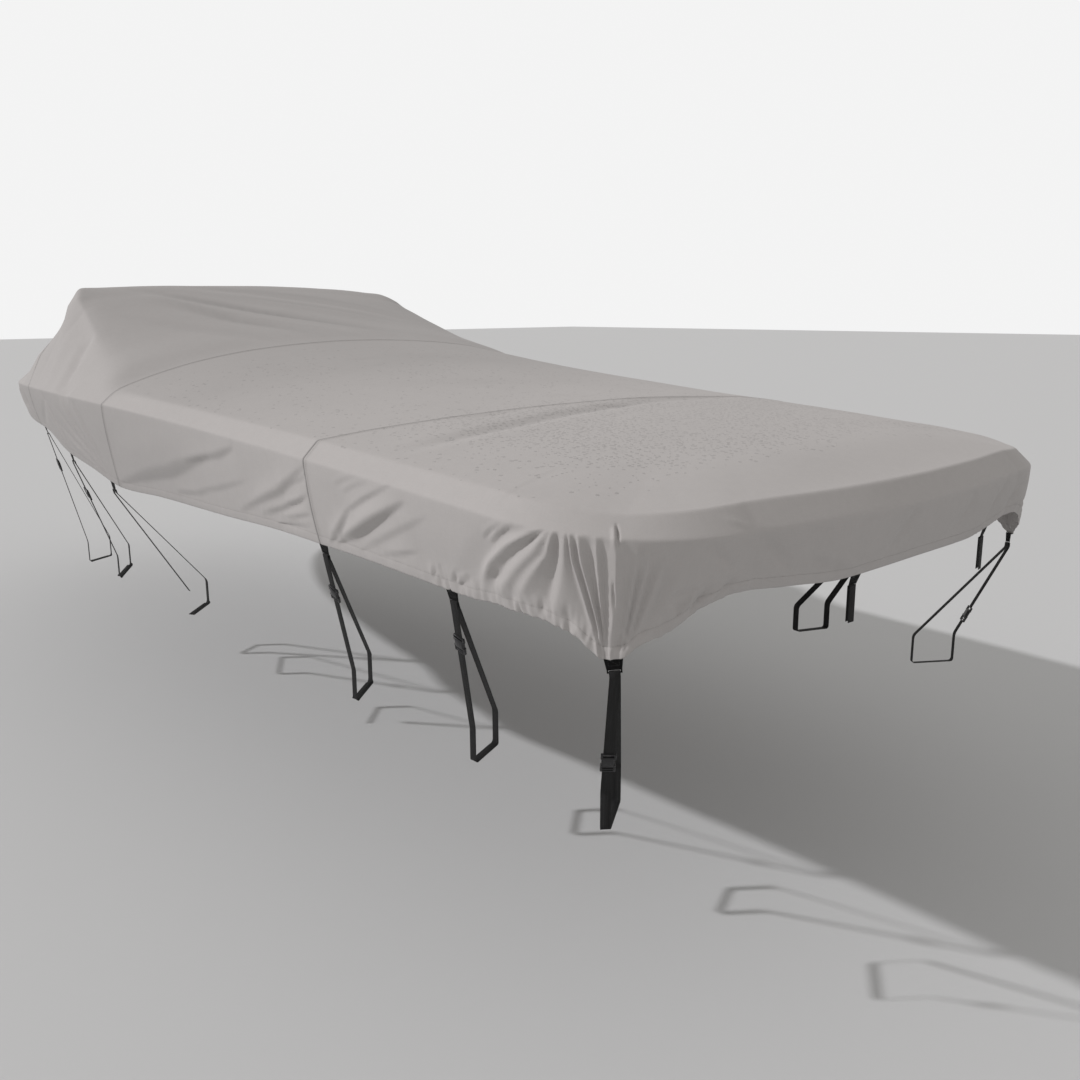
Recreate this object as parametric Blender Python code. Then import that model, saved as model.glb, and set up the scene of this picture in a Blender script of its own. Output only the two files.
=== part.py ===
"""A fitted cover of coated polyester for an open runabout of 6.2 m, tied down over its trailer.

Metres, +Z up. The bow is at -X, the stern at +X and the port side at -Y. The origin is the
point under the cloth where the windscreen's top carries it, on the centreline. All stations
below are measured from the bow's tip, and all heights from the ground; CARRIER turns them
into the part's frame.
"""

import math

import bmesh
import bpy
from mathutils import Matrix, Vector

# The boat under the cloth.
LENGTH = 6.17
HALF_BEAM = 1.150
STERN_HALF = 1.055
WIDEST_AT = 0.5794 * LENGTH
BOW_SWEEP = 2.18
BOW_FULLNESS = 0.696
CORNER = 0.40
TRANSOM_CAMBER = 0.060
CREASE_AT_BOW = 1.2475
CREASE_AT_MIDDLE = 1.378
CREASE_AT_STERN = 1.234
HEEL = 0.038
CARRIER = Vector((2.400, 0.0, 1.829))

# The cloth.
CLOTH = 0.0020
GAP = 0.0003
SEAMS = (2.308, 3.510, 4.957)
SPINE_START = 0.90
SPINE_END = 5.42
HEM_TUCK = 0.040
TROUGH_AT = 5.06
TROUGH_DEPTH = 0.014
TROUGH_WIDTH = 0.045

# One row for each cross-section: how far the upper ridge lies inside the lower crease and above
# it, the height on the centreline, and how much of the half-width the top runs level.
SECTIONS = [
    # station, inset, rise, centre, level
    (0.00, 0.040, 0.030, 1.285, 0.55),
    (0.60, 0.060, 0.050, 1.385, 0.55),
    (1.15, 0.110, 0.095, 1.478, 0.58),
    (1.60, 0.260, 0.215, 1.605, 0.64),
    (2.00, 0.370, 0.380, 1.764, 0.78),
    (2.20, 0.312, 0.434, 1.822, 0.88),
    (2.36, 0.268, 0.434, 1.834, 0.90),
    (2.56, 0.220, 0.364, 1.800, 0.84),
    (2.80, 0.197, 0.267, 1.745, 0.78),
    (3.11, 0.163, 0.159, 1.670, 0.72),
    (3.33, 0.111, 0.107, 1.622, 0.68),
    (3.51, 0.054, 0.047, 1.582, 0.655),
    (4.20, 0.050, 0.046, 1.487, 0.63),
    (4.957, 0.048, 0.046, 1.408, 0.615),
    (5.50, 0.048, 0.046, 1.385, 0.62),
    (5.85, 0.050, 0.050, 1.358, 0.66),
    (6.17, 0.050, 0.062, 1.300, 0.80),
]

# How far the hem hangs below the lower crease, by station along each side.
HEM_DROPS = [
    # station, drop
    (0.00, 0.160),
    (1.20, 0.165),
    (2.31, 0.180),
    (2.50, 0.190),
    (2.85, 0.250),
    (3.20, 0.280),
    (3.55, 0.315),
    (3.90, 0.294),
    (4.40, 0.270),
    (4.75, 0.248),
    (5.20, 0.234),
    (5.60, 0.224),
    (5.71, 0.2125),
]

# Round the stern, by distance along the lower crease from the transom's middle: the hem's
# height, how far the ridge rises over the crease, and how far the hem is tucked in.
STERN_ROWS = [
    # distance, hem height, ridge rise, tuck
    (0.00, 1.075, 0.060, 0.040),
    (0.33, 1.072, 0.060, 0.038),
    (0.52, 1.087, 0.061, 0.034),
    (0.71, 1.101, 0.058, 0.030),
    (0.80, 1.086, 0.054, 0.026),
    (0.89, 1.040, 0.048, 0.020),
    (0.96, 1.014, 0.044, 0.016),
    (1.00, 0.988, 0.042, 0.012),
    (1.03, 0.986, 0.042, 0.012),
    (1.07, 1.006, 0.043, 0.016),
    (1.10, 1.030, 0.044, 0.020),
    (1.20, 1.056, 0.046, 0.030),
    (1.31, 1.059, 0.046, 0.040),
]

# Soft folds of the skirt along each side. A fold is a trough (-) or ridge (+) along a straight
# line from its foot to its top; "fall" is 1 at the hem and 0 at the lower crease.
SKIRT_FOLDS = [
    # station at foot, fall at foot, station at top, fall at top, half-width, depth
    (2.96, 1.00, 2.62, 0.08, 0.060, -0.009),
    (3.30, 1.00, 2.80, 0.10, 0.070, -0.008),
    (3.38, 1.00, 2.95, 0.05, 0.060, 0.007),
    (3.46, 1.00, 3.08, 0.05, 0.070, -0.008),
    (3.44, 0.95, 4.34, 0.05, 0.180, 0.009),
    (3.50, 1.00, 4.58, 0.05, 0.150, -0.017),
    (4.46, 1.00, 4.94, 0.05, 0.070, -0.010),
    (4.99, 1.00, 5.36, 0.00, 0.040, -0.014),
    (5.06, 1.00, 5.42, 0.05, 0.045, -0.012),
    (5.14, 1.00, 5.50, 0.10, 0.045, 0.010),
    (5.46, 1.05, 5.42, 0.40, 0.035, -0.009),
    (5.58, 1.05, 5.64, 0.40, 0.035, -0.009),
]

# Folds gathered to the strap at each stern corner, by distance from the strap along the crease
# (- forward along the side, + along the transom). They fan out from the strap to the crease.
CORNER_FOLDS = [
    # distance at foot, fall at foot, distance at top, fall at top, half-width, depth
    (-0.46, 1.05, -0.40, 0.20, 0.040, -0.009),
    (-0.38, 1.00, -0.235, 0.02, 0.035, -0.012),
    (-0.30, 1.05, -0.175, -0.05, 0.028, 0.012),
    (-0.22, 1.05, -0.145, 0.02, 0.026, -0.015),
    (-0.15, 1.05, -0.115, -0.05, 0.024, 0.013),
    (-0.08, 1.00, -0.085, 0.02, 0.020, -0.011),
    (-0.03, 1.00, -0.055, -0.05, 0.016, 0.011),
    (-0.01, 0.95, -0.030, 0.05, 0.014, -0.008),
    (0.00, 1.00, 0.000, -0.10, 0.014, 0.012),
    (0.02, 0.98, 0.040, 0.02, 0.018, -0.010),
    (0.04, 0.98, 0.080, 0.05, 0.022, 0.006),
    (0.06, 0.98, 0.120, 0.08, 0.026, -0.009),
    (0.10, 0.96, 0.190, 0.25, 0.030, -0.006),
]
FOLD_FADE = 0.7
STRAP_TO_MIDDLE = 1.015

# Mesh of the cloth.
OUTLINE_NUDGE = 0.004
OUTLINE_STEPS = 40
BOW_STATIONS = (0.0, 0.02, 0.07, 0.17, 0.35)
WINDSCREEN_FOOT = 1.60
SIDE_STEPS = [
    # up to station, spacing of the columns
    (WINDSCREEN_FOOT, 0.260),
    (2.308, 0.180),
    (3.510, 0.120),
    (4.957, 0.110),
    (LENGTH, 0.084),
]
CORNER_COLUMNS = 24
TRANSOM_COLUMNS = 6
SKIRT_ROWS = 4
DECK_ROWS = 5

# Webbing straps and their fittings.
WEBBING_WIDTH = 0.025
WEBBING = 0.0015
TAB_WIDTH = 0.034
TAB_LENGTH = 0.034
TAB_THICKNESS = 0.0025
TAB_BAR = 0.004
TAB_SLOT = 0.010
TAB_SLOT_PLAY = 0.0012
TAB_BELOW_HEM = 0.0008
BAR_TURN = 0.0038
BAR_LEAD = 0.012
BAR_STEPS = 6
RAIL_OUTER = -0.870
RAIL_INNER = -0.745
RAIL_TOP = 0.600
RAIL_BOTTOM = 0.500
BUCKLE_LENGTH = 0.058
BUCKLE_WIDTH = 0.036
BUCKLE_THICKNESS = 0.010
BUCKLE_ROUND = 0.006
BUCKLE_ROUND_STEPS = 3

# Stations of the ties on each side: where the tab is sewn, where the strap meets the rail, and
# how far below the tab its buckle sits (0 for none).
SIDE_TIES = [
    # name, station, outer rail station, inner rail station, buckle
    ("tie_1", 2.410, 2.300, 2.240, 0.150),
    ("tie_2", 2.910, 2.700, 2.500, 0.170),
    ("tie_3", 3.430, 3.500, 3.380, 0.000),
    ("tie_4", 4.970, 4.745, 4.640, 0.150),
    ("tie_5", 5.520, 5.350, 5.295, 0.135),
]
CORNER_TIE = ("corner_tie", STRAP_TO_MIDDLE, 5.855, 5.770, 0.270)
STERN_TIES = [
    # name, side position
    ("stern_tie_1", -0.270),
    ("stern_tie_2", 0.480),
]
STERN_TIE_END = 0.950

GREY_CLOTH = (0.36, 0.35, 0.34)
BLACK_WEBBING = (0.012, 0.012, 0.013)
BLACK_PLASTIC = (0.016, 0.016, 0.017)


def clear_scene():
    for thing in list(bpy.data.objects):
        bpy.data.objects.remove(thing, do_unlink=True)


def make_material(name, colour, roughness):
    material = bpy.data.materials.new(name)
    material.use_nodes = True
    shader = material.node_tree.nodes["Principled BSDF"]
    shader.inputs["Base Color"].default_value = (*colour, 1.0)
    shader.inputs["Roughness"].default_value = roughness
    shader.inputs["Metallic"].default_value = 0.0
    return material


def read_table(rows, column, at):
    """A smooth curve through one column of a table, read at a place along its first column."""
    count = len(rows)
    if at <= rows[0][0]:
        return rows[0][column]
    if at >= rows[-1][0]:
        return rows[-1][column]
    i = max(k for k in range(count - 1) if rows[k][0] <= at)

    def slope(k):
        if k == 0 or k == count - 1:
            return 0.0
        before = (rows[k][column] - rows[k - 1][column]) / (rows[k][0] - rows[k - 1][0])
        after = (rows[k + 1][column] - rows[k][column]) / (rows[k + 1][0] - rows[k][0])
        if before * after <= 0.0:
            return 0.0
        return 2.0 * before * after / (before + after)

    step = rows[i + 1][0] - rows[i][0]
    t = (at - rows[i][0]) / step
    low, high = rows[i][column], rows[i + 1][column]
    return (
        low * (1 + 2 * t) * (1 - t) ** 2
        + slope(i) * step * t * (1 - t) ** 2
        + high * t * t * (3 - 2 * t)
        - slope(i + 1) * step * t * t * (1 - t)
    )


def half_beam(station):
    """Half the breadth over the lower crease."""
    if station < WIDEST_AT:
        taper = 1.0 - max(station, 0.0) / WIDEST_AT
        return HALF_BEAM * (1.0 - taper**BOW_SWEEP) ** BOW_FULLNESS
    run = (station - WIDEST_AT) / (LENGTH - WIDEST_AT)
    return HALF_BEAM - (HALF_BEAM - STERN_HALF) * run**2


def crease_height(station):
    t = station / LENGTH
    return (
        CREASE_AT_BOW * (1 - t) * (1 - 2 * t)
        + CREASE_AT_MIDDLE * 4 * t * (1 - t)
        + CREASE_AT_STERN * t * (2 * t - 1)
    )


CORNER_START = LENGTH - TRANSOM_CAMBER - CORNER
TRANSOM_HALF = STERN_HALF - CORNER


def outline(u):
    """The lower crease in plan: u is 0 to 1 along the side, to 2 round the corner, to 3 amidships."""
    if u <= 1.0:
        station = CORNER_START * u
        return station, half_beam(station)
    if u <= 2.0:
        angle = (u - 1.0) * math.pi / 2
        breadth = half_beam(CORNER_START) - TRANSOM_HALF
        return CORNER_START + CORNER * math.sin(angle), TRANSOM_HALF + breadth * math.cos(angle)
    across = TRANSOM_HALF * (3.0 - u)
    return LENGTH - TRANSOM_CAMBER * (across / TRANSOM_HALF) ** 2, across


def outward(u):
    """The outward direction of the crease in plan."""
    if u <= 0.0:
        return -1.0, 0.0
    if u >= 3.0:
        return 1.0, 0.0
    x0, y0 = outline(max(u - OUTLINE_NUDGE, 0.0))
    x1, y1 = outline(min(u + OUTLINE_NUDGE, 3.0))
    length = math.hypot(x1 - x0, y1 - y0)
    return (y0 - y1) / length, (x1 - x0) / length


def along_stern(u):
    """Distance along the crease from the transom's middle, for u of 1 to 3."""
    total = 0.0
    last = outline(3.0)
    for k in range(1, OUTLINE_STEPS + 1):
        here = outline(3.0 + (u - 3.0) * k / OUTLINE_STEPS)
        total += math.hypot(here[0] - last[0], here[1] - last[1])
        last = here
    return total


def section_top(station, across):
    """Height of the deck cloth at a station, for a distance from the centreline."""
    ridge = half_beam(station) - read_table(SECTIONS, 1, station)
    low = crease_height(station) + read_table(SECTIONS, 2, station)
    high = read_table(SECTIONS, 3, station)
    level = read_table(SECTIONS, 4, station) * ridge
    trough = TROUGH_DEPTH * math.exp(-(((station - TROUGH_AT) / TROUGH_WIDTH) ** 2))
    if across >= ridge:
        return low
    a = ridge - 2 * level
    b = 2 * level - 2 * ridge
    c = ridge - across
    if abs(a) < 1e-6:
        t = -c / b
    else:
        t = (-b - math.sqrt(b * b - 4 * a * c)) / (2 * a)
    crown = low * (1 - t) ** 2 + high * (2 * t * (1 - t) + t * t)
    return crown - trough * min(1.0, 4.0 * t * (1 - t) + 0.3)


def row_share(station, t):
    """How far in from the ridge, as a share of the way to the centreline, row t of the deck lies."""
    ridge = half_beam(station) - read_table(SECTIONS, 1, station)
    level = read_table(SECTIONS, 4, station)
    return 1.0 - ((1 - t) ** 2 + 2 * t * (1 - t) * level)


def bell(distance, width):
    return math.exp(-((distance / width) ** 2))


def fold_shift(folds, place, fall):
    """Outward shift of the skirt from a table of folds, for a place along the crease and a fall."""
    shift = 0.0
    for foot_at, foot_fall, top_at, top_fall, width, depth in folds:
        climb = (foot_fall - fall) / (foot_fall - top_fall)
        if 0.0 < climb < 1.0:
            centre = foot_at + (top_at - foot_at) * climb
            shift += depth * bell(place - centre, width) * math.sin(climb * math.pi) ** FOLD_FADE
    return shift


def crease_point(u):
    """Where the lower crease runs, as (station, across, height)."""
    station, across = outline(u)
    return station, across, crease_height(station)


def hem_fall(u):
    """The height of the skirt from lower crease to hem."""
    station = outline(u)[0]
    if u <= 1.0:
        return read_table(HEM_DROPS, 1, station)
    return crease_height(station) - read_table(STERN_ROWS, 1, along_stern(u))


def skirt_point(u, fall):
    """A point of the skirt: fall is 0 at the lower crease and 1 at the hem."""
    station, across, height = crease_point(u)
    nx, ny = outward(u)
    tuck = HEM_TUCK if u <= 1.0 else read_table(STERN_ROWS, 3, along_stern(u))
    shift = -tuck * fall**1.6
    if u <= 1.0:
        shift += fold_shift(SKIRT_FOLDS, station, fall)
    to_middle = along_stern(max(u, 1.0)) + max(0.0, CORNER_START - station)
    shift += fold_shift(CORNER_FOLDS, STRAP_TO_MIDDLE - to_middle, fall)
    return station + nx * shift, across + ny * shift, height - hem_fall(u) * fall


def ridge_point(u):
    """A point of the upper ridge, where the sloping band meets the top."""
    station, across, height = crease_point(u)
    nx, ny = outward(u)
    inset = read_table(SECTIONS, 1, station)
    rise = read_table(SECTIONS, 2, station)
    if u > 1.0:
        rise = read_table(STERN_ROWS, 2, along_stern(u))
    return station - nx * inset, max(0.0, across - ny * inset), height + rise


def deck_point(u, t):
    """A point of the top: t is 0 at the ridge and 1 on the centreline."""
    x0, y0, z0 = ridge_point(u)
    station = outline(u)[0]
    spine = min(max(station, SPINE_START), SPINE_END)
    share = row_share(spine, t)
    if SPINE_START <= station <= SPINE_END:
        x0 = station
    x = x0 + (spine - x0) * share
    y = y0 * (1.0 - share)
    correction = z0 - section_top(x0, y0)
    return x, y, section_top(x, y) + correction * (1.0 - share) ** 3


def cloth_point(u, row, side):
    """A vertex of the cloth, in the part's frame, for a column and a row from hem to centreline."""
    if row <= SKIRT_ROWS:
        x, y, z = skirt_point(u, 1.0 - row / SKIRT_ROWS)
    else:
        x, y, z = deck_point(u, (row - SKIRT_ROWS - 1) / DECK_ROWS)
    if SPINE_START <= outline(u)[0] <= SPINE_END:
        x = outline(u)[0]
    if side > 0:
        z -= HEEL * (y / HALF_BEAM) ** 2
    return Vector((x, side * y, z)) - CARRIER


def spread(start, end, step):
    """Evenly spaced places from start up to, but not at, end."""
    count = max(1, round((end - start) / step))
    return [start + (end - start) * k / count for k in range(count)]


def u_at_station(station):
    return station / CORNER_START


def u_at_distance(distance):
    """u of the place on the stern's crease this far from the transom's middle."""
    low, high = 1.0, 3.0
    for _ in range(OUTLINE_STEPS):
        middle = (low + high) / 2
        if along_stern(middle) > distance:
            low = middle
        else:
            high = middle
    return low


def tie_spans():
    """Each tie's name, with u just before and just after its tab: the hem is straight between them."""
    spans = {}
    for name, station, _, _, _ in SIDE_TIES:
        spans[name] = (u_at_station(station - TAB_WIDTH / 2), u_at_station(station + TAB_WIDTH / 2))
    for name, distance in (CORNER_TIE[:2], *STERN_TIES):
        spans[name] = (
            u_at_distance(abs(distance) + TAB_WIDTH / 2),
            u_at_distance(abs(distance) - TAB_WIDTH / 2),
        )
    return spans


def column_places():
    """u of each column of one side, from the bow's tip to the transom's middle."""
    stops = [BOW_STATIONS[-1], SPINE_START, WINDSCREEN_FOOT]
    for seam in SEAMS:
        stops += [seam - GAP / 2, seam + GAP / 2]
    stops += [CORNER_START]
    regular = [u_at_station(station) for station in BOW_STATIONS[:-1]]
    kept = {u_at_station(stop) for stop in stops}
    for start, end in zip(stops, stops[1:]):
        step = next(spacing for last, spacing in SIDE_STEPS if end <= last)
        regular += [u_at_station(station) for station in spread(start, end, step)]
    regular += spread(1.0, 2.0, 1.0 / CORNER_COLUMNS)
    regular += spread(2.0, 3.0, 1.0 / TRANSOM_COLUMNS) + [3.0]
    ties = [u for span in tie_spans().values() for u in span]
    clear = TAB_WIDTH / 2 / CORNER_START
    places = [u for u in regular if u in kept or u == 3.0 or all(abs(u - tie) > clear for tie in ties)]
    return sorted(places + ties)


def make_cloth():
    """The whole cover as one open sheet, with a column of faces 0.3 mm wide at each seam."""
    port = column_places()
    columns = [(u, -1.0) for u in port] + [(u, 1.0) for u in reversed(port)]
    rows = SKIRT_ROWS + DECK_ROWS + 1
    sheet = bmesh.new()
    bmesh.ops.create_grid(sheet, x_segments=len(columns) - 1, y_segments=rows, size=1.0)
    sheet.verts.ensure_lookup_table()
    across = len(columns)
    for index, vertex in enumerate(sheet.verts):
        u, side = columns[index % across]
        vertex.co = cloth_point(u, index // across, side)
    bmesh.ops.remove_doubles(sheet, verts=sheet.verts, dist=0.00005)
    bmesh.ops.recalc_face_normals(sheet, faces=sheet.faces)
    sheet.normal_update()
    if sum(face.normal.z for face in sheet.faces) < 0:
        bmesh.ops.reverse_faces(sheet, faces=sheet.faces)
    sheet.normal_update()
    return sheet


def face_outward(shell):
    """Turns every face of a closed shell outwards."""
    bmesh.ops.recalc_face_normals(shell, faces=shell.faces)
    if shell.calc_volume(signed=True) < 0:
        bmesh.ops.reverse_faces(shell, faces=shell.faces)


def thicken(sheet, thickness):
    """Turns an open sheet into a closed one: the copy is shifted along the stored normals."""
    store = sheet.verts.layers.float_vector["normal"]
    outer = bmesh.ops.extrude_face_region(sheet, geom=list(sheet.faces), use_keep_orig=True)
    for item in outer["geom"]:
        if isinstance(item, bmesh.types.BMVert):
            item.co -= item[store] * thickness
    face_outward(sheet)


def finish_object(name, mesh_data, material):
    mesh = bpy.data.meshes.new(name)
    mesh_data.to_mesh(mesh)
    mesh_data.free()
    mesh.materials.append(material)
    thing = bpy.data.objects.new(name, mesh)
    bpy.context.scene.collection.objects.link(thing)
    return thing


def make_panels(material):
    """The four panels: the whole sheet, cut at its seams, each thickened along the same normals."""
    whole = make_cloth()
    store = whole.verts.layers.float_vector.new("normal")
    for vertex in whole.verts:
        normal = vertex.normal.copy()
        if any(abs(vertex.co.x + CARRIER.x - seam) < GAP for seam in SEAMS):
            normal.x = 0.0
        vertex[store] = normal.normalized()
    edges = (-CARRIER.x - 1.0, *[seam - CARRIER.x for seam in SEAMS], LENGTH - CARRIER.x + 1.0)
    names = ("bow_panel", "fore_panel", "mid_panel", "stern_panel")
    for name, start, end in zip(names, edges, edges[1:]):
        panel = whole.copy()
        spare = [
            face
            for face in panel.faces
            if any(vertex.co.x < start or vertex.co.x > end for vertex in face.verts)
        ]
        bmesh.ops.delete(panel, geom=spare, context="FACES")
        thicken(panel, CLOTH)
        thing = finish_object(name, panel, material)
        thing.data.shade_smooth()
        thing.data.set_sharp_from_angle(angle=math.radians(35))
    whole.free()


def ribbon(name, path, across, width, thickness, material):
    """A flat strip that follows a path, with its width along a fixed direction."""
    strip = bmesh.new()
    bmesh.ops.create_grid(strip, x_segments=len(path) - 1, y_segments=1, size=1.0)
    strip.verts.ensure_lookup_table()
    store = strip.verts.layers.float_vector.new("normal")
    count = len(path)
    for index, vertex in enumerate(strip.verts):
        k = index % count
        run = (path[min(k + 1, count - 1)] - path[max(k - 1, 0)]).normalized()
        wide = (across - run * across.dot(run)).normalized()
        flat = run.cross(wide)
        side = 0.5 if index >= count else -0.5
        vertex.co = path[k] + wide * width * side + flat * thickness / 2
        vertex[store] = flat
    thicken(strip, thickness)
    return finish_object(name, strip, material)


def hem_frame(span, side):
    """The middle of the straight hem over a tab, with its run, its downward and outward direction."""
    before, after = (cloth_point(u, 0, side) for u in span)
    above = (cloth_point(span[0], 1, side) + cloth_point(span[1], 1, side)) / 2
    middle = (before + after) / 2
    run = (after - before).normalized()
    down = middle - above
    down = (down - run * down.dot(run)).normalized()
    out = run.cross(down)
    nx, ny = outward(sum(span) / 2)
    if out.dot(Vector((nx, side * ny, 0.0))) < 0:
        out = -out
    return middle, run, down, out


def make_tab(name, place, run, down, out, material):
    """A webbing tab sewn under the hem, with a slot above a bar at its lower end."""
    tab = bmesh.new()
    bmesh.ops.create_grid(tab, x_segments=3, y_segments=3, size=1.0)
    tab.verts.ensure_lookup_table()
    store = tab.verts.layers.float_vector.new("normal")
    half = TAB_WIDTH / 2
    slot_half = WEBBING_WIDTH / 2 + TAB_SLOT_PLAY
    columns = (-half, -slot_half, slot_half, half)
    levels = (0.0, TAB_LENGTH - TAB_BAR - TAB_SLOT, TAB_LENGTH - TAB_BAR, TAB_LENGTH)
    for index, vertex in enumerate(tab.verts):
        level = place + down * levels[index // 4]
        vertex.co = level + run * columns[index % 4] + out * TAB_THICKNESS / 2
        vertex[store] = out
    tab.faces.ensure_lookup_table()
    bmesh.ops.delete(tab, geom=[tab.faces[4]], context="FACES")
    thicken(tab, TAB_THICKNESS)
    return finish_object(name, tab, material)


def make_buckle(name, centre, along, across, material):
    """A closed side-release buckle, a flat block with round corners."""
    buckle = bmesh.new()
    size = Matrix.Diagonal((BUCKLE_LENGTH, BUCKLE_WIDTH, BUCKLE_THICKNESS, 1.0))
    bmesh.ops.create_cube(buckle, size=1.0, matrix=size)
    buckle.normal_update()
    bmesh.ops.bevel(
        buckle,
        geom=[edge for edge in buckle.edges if edge.verts[0].co.z * edge.verts[1].co.z < 0.0],
        offset=BUCKLE_ROUND,
        segments=BUCKLE_ROUND_STEPS,
        profile=0.5,
        affect="EDGES",
        material=-1,
    )
    axes = Matrix((along, across, along.cross(across).normalized())).transposed()
    bmesh.ops.transform(buckle, matrix=Matrix.Translation(centre) @ axes.to_4x4(), verts=buckle.verts)
    face_outward(buckle)
    thing = finish_object(name, buckle, material)
    thing.data.shade_smooth()
    thing.data.set_sharp_from_angle(angle=math.radians(40))
    return thing


def bar_turn(centre, down, out):
    """Half a turn of webbing over the tab's bar, from its outer to its inner side."""
    turn = []
    for k in range(BAR_STEPS + 1):
        angle = math.pi * k / BAR_STEPS
        turn.append(centre + out * BAR_TURN * math.cos(angle) - down * BAR_TURN * math.sin(angle))
    return turn


def rail_point(station, across, height, side):
    return Vector((station, -side * across, height)) - CARRIER


def make_tie(tie, span, side, materials):
    """A tab, its strap round the trailer's rail, and the buckle on the strap's outer run."""
    label, _, outer_station, inner_station, buckle_at = tie
    name = ("port_" if side < 0 else "starboard_") + label
    webbing, plastic = materials
    place, run, down, out = hem_frame(span, side)
    make_tab(name + "_tab", place + down * TAB_BELOW_HEM, run, down, out, webbing)
    bar = place + down * (TAB_BELOW_HEM + TAB_LENGTH - TAB_BAR / 2)
    outer_start = bar + out * BAR_TURN + down * BAR_LEAD
    inner_start = bar - out * BAR_TURN + down * BAR_LEAD
    turn = [outer_start, *bar_turn(bar, down, out), inner_start]
    inner = [
        rail_point(inner_station, RAIL_INNER, RAIL_TOP, side),
        rail_point(inner_station, RAIL_INNER, RAIL_BOTTOM, side),
    ]
    outer = [
        rail_point(outer_station, RAIL_OUTER, RAIL_BOTTOM, side),
        rail_point(outer_station, RAIL_OUTER, RAIL_TOP, side),
    ]
    path = turn + inner + outer
    if buckle_at:
        leg = (outer[1] - outer_start).normalized()
        middle = outer_start + leg * buckle_at
        reach = leg * (BUCKLE_LENGTH / 2 + GAP)
        path = [middle - reach, *path, middle + reach]
        across = (run - leg * run.dot(leg)).normalized()
        make_buckle(name + "_buckle", middle, leg, across, plastic)
    else:
        path = [outer[1], *turn, *inner, outer[0]]
    ribbon(name + "_strap", path, run, WEBBING_WIDTH, WEBBING, webbing)


def make_stern_tie(name, span, side, materials):
    """A short strap that goes straight down into the swim platform's slot, both its runs together."""
    place, run, down, out = hem_frame(span, side)
    make_tab(name + "_tab", place + down * TAB_BELOW_HEM, run, down, out, materials[0])
    bar = place + down * (TAB_BELOW_HEM + TAB_LENGTH - TAB_BAR / 2)
    end = Vector((bar.x, bar.y, STERN_TIE_END - CARRIER.z))
    path = [end + out * BAR_TURN, *bar_turn(bar, down, out), end - out * BAR_TURN]
    ribbon(name + "_strap", path, run, WEBBING_WIDTH, WEBBING, materials[0])


def make_ties(materials):
    spans = tie_spans()
    for side in (-1.0, 1.0):
        for tie in (*SIDE_TIES, CORNER_TIE):
            make_tie(tie, spans[tie[0]], side, materials)
    for name, across in STERN_TIES:
        make_stern_tie(name, spans[name], math.copysign(1.0, across), materials)


def main():
    clear_scene()
    cloth = make_material("coated_polyester", GREY_CLOTH, 0.75)
    webbing = make_material("webbing", BLACK_WEBBING, 0.8)
    plastic = make_material("buckle_plastic", BLACK_PLASTIC, 0.45)
    make_panels(cloth)
    make_ties((webbing, plastic))


main()
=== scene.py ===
# %% [markdown]
# # Dressing a fitted boat cover
# The solid parts of this cover are already built: four cloth panels, fourteen webbing tabs,
# their straps and ten buckles. This lesson gives each of them its real surface. Everything
# is in metres, +Z up, with the bow at -X and the port side at -Y, in the solids' own frame.

# %% Load the solid parts
import bisect
import math

import bmesh
import bpy
from mathutils import Matrix, Vector, noise


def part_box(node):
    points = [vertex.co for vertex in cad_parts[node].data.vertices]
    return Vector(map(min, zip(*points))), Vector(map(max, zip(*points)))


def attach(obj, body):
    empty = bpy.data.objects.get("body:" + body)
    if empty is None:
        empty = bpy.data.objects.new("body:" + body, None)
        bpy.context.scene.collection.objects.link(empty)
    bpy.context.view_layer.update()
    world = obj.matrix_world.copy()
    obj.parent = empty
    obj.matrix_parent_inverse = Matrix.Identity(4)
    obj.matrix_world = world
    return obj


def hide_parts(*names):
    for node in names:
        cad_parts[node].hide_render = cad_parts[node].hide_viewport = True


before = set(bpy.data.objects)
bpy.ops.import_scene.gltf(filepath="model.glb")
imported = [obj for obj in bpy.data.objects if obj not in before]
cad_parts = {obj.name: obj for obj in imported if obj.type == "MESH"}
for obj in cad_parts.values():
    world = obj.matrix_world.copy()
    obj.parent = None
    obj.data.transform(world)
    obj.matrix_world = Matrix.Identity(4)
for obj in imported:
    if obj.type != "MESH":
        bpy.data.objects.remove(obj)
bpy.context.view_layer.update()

# %% [markdown]
# ## The camera
# A viewer stands just off the port quarter, at eye height above the ground. Blender wants a
# place, three turns and a lens. The small shift and roll are those of a hand-held camera. The
# turns are multiplied as matrices, because their order then stays plain to read.

# %% Camera
GROUND = -1.829
EYE = Vector((4.982, -2.4489, -0.1066))
CAMERA_YAW = 47.94
CAMERA_DIP = 12.04
CAMERA_ROLL = -0.26
LENS = 33.55
SENSOR = 36.0
LENS_SHIFT = (-0.001, -0.0173)
FARTHEST_SEEN = 300.0


def put_in_scene(name, data):
    thing = bpy.data.objects.new(name, data)
    bpy.context.scene.collection.objects.link(thing)
    return thing


camera_data = bpy.data.cameras.new("viewer")
camera_data.lens = LENS
camera_data.sensor_width = SENSOR
camera_data.shift_x, camera_data.shift_y = LENS_SHIFT
camera_data.clip_end = FARTHEST_SEEN
camera = put_in_scene("viewer", camera_data)
turn = Matrix.Rotation(math.radians(CAMERA_YAW), 4, "Z")
dip = Matrix.Rotation(math.radians(90.0 - CAMERA_DIP), 4, "X")
roll = Matrix.Rotation(math.radians(CAMERA_ROLL), 4, "Z")
camera.matrix_world = Matrix.Translation(EYE) @ turn @ dip @ roll
bpy.context.scene.camera = camera
print("camera at", tuple(round(c, 3) for c in EYE))

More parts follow.
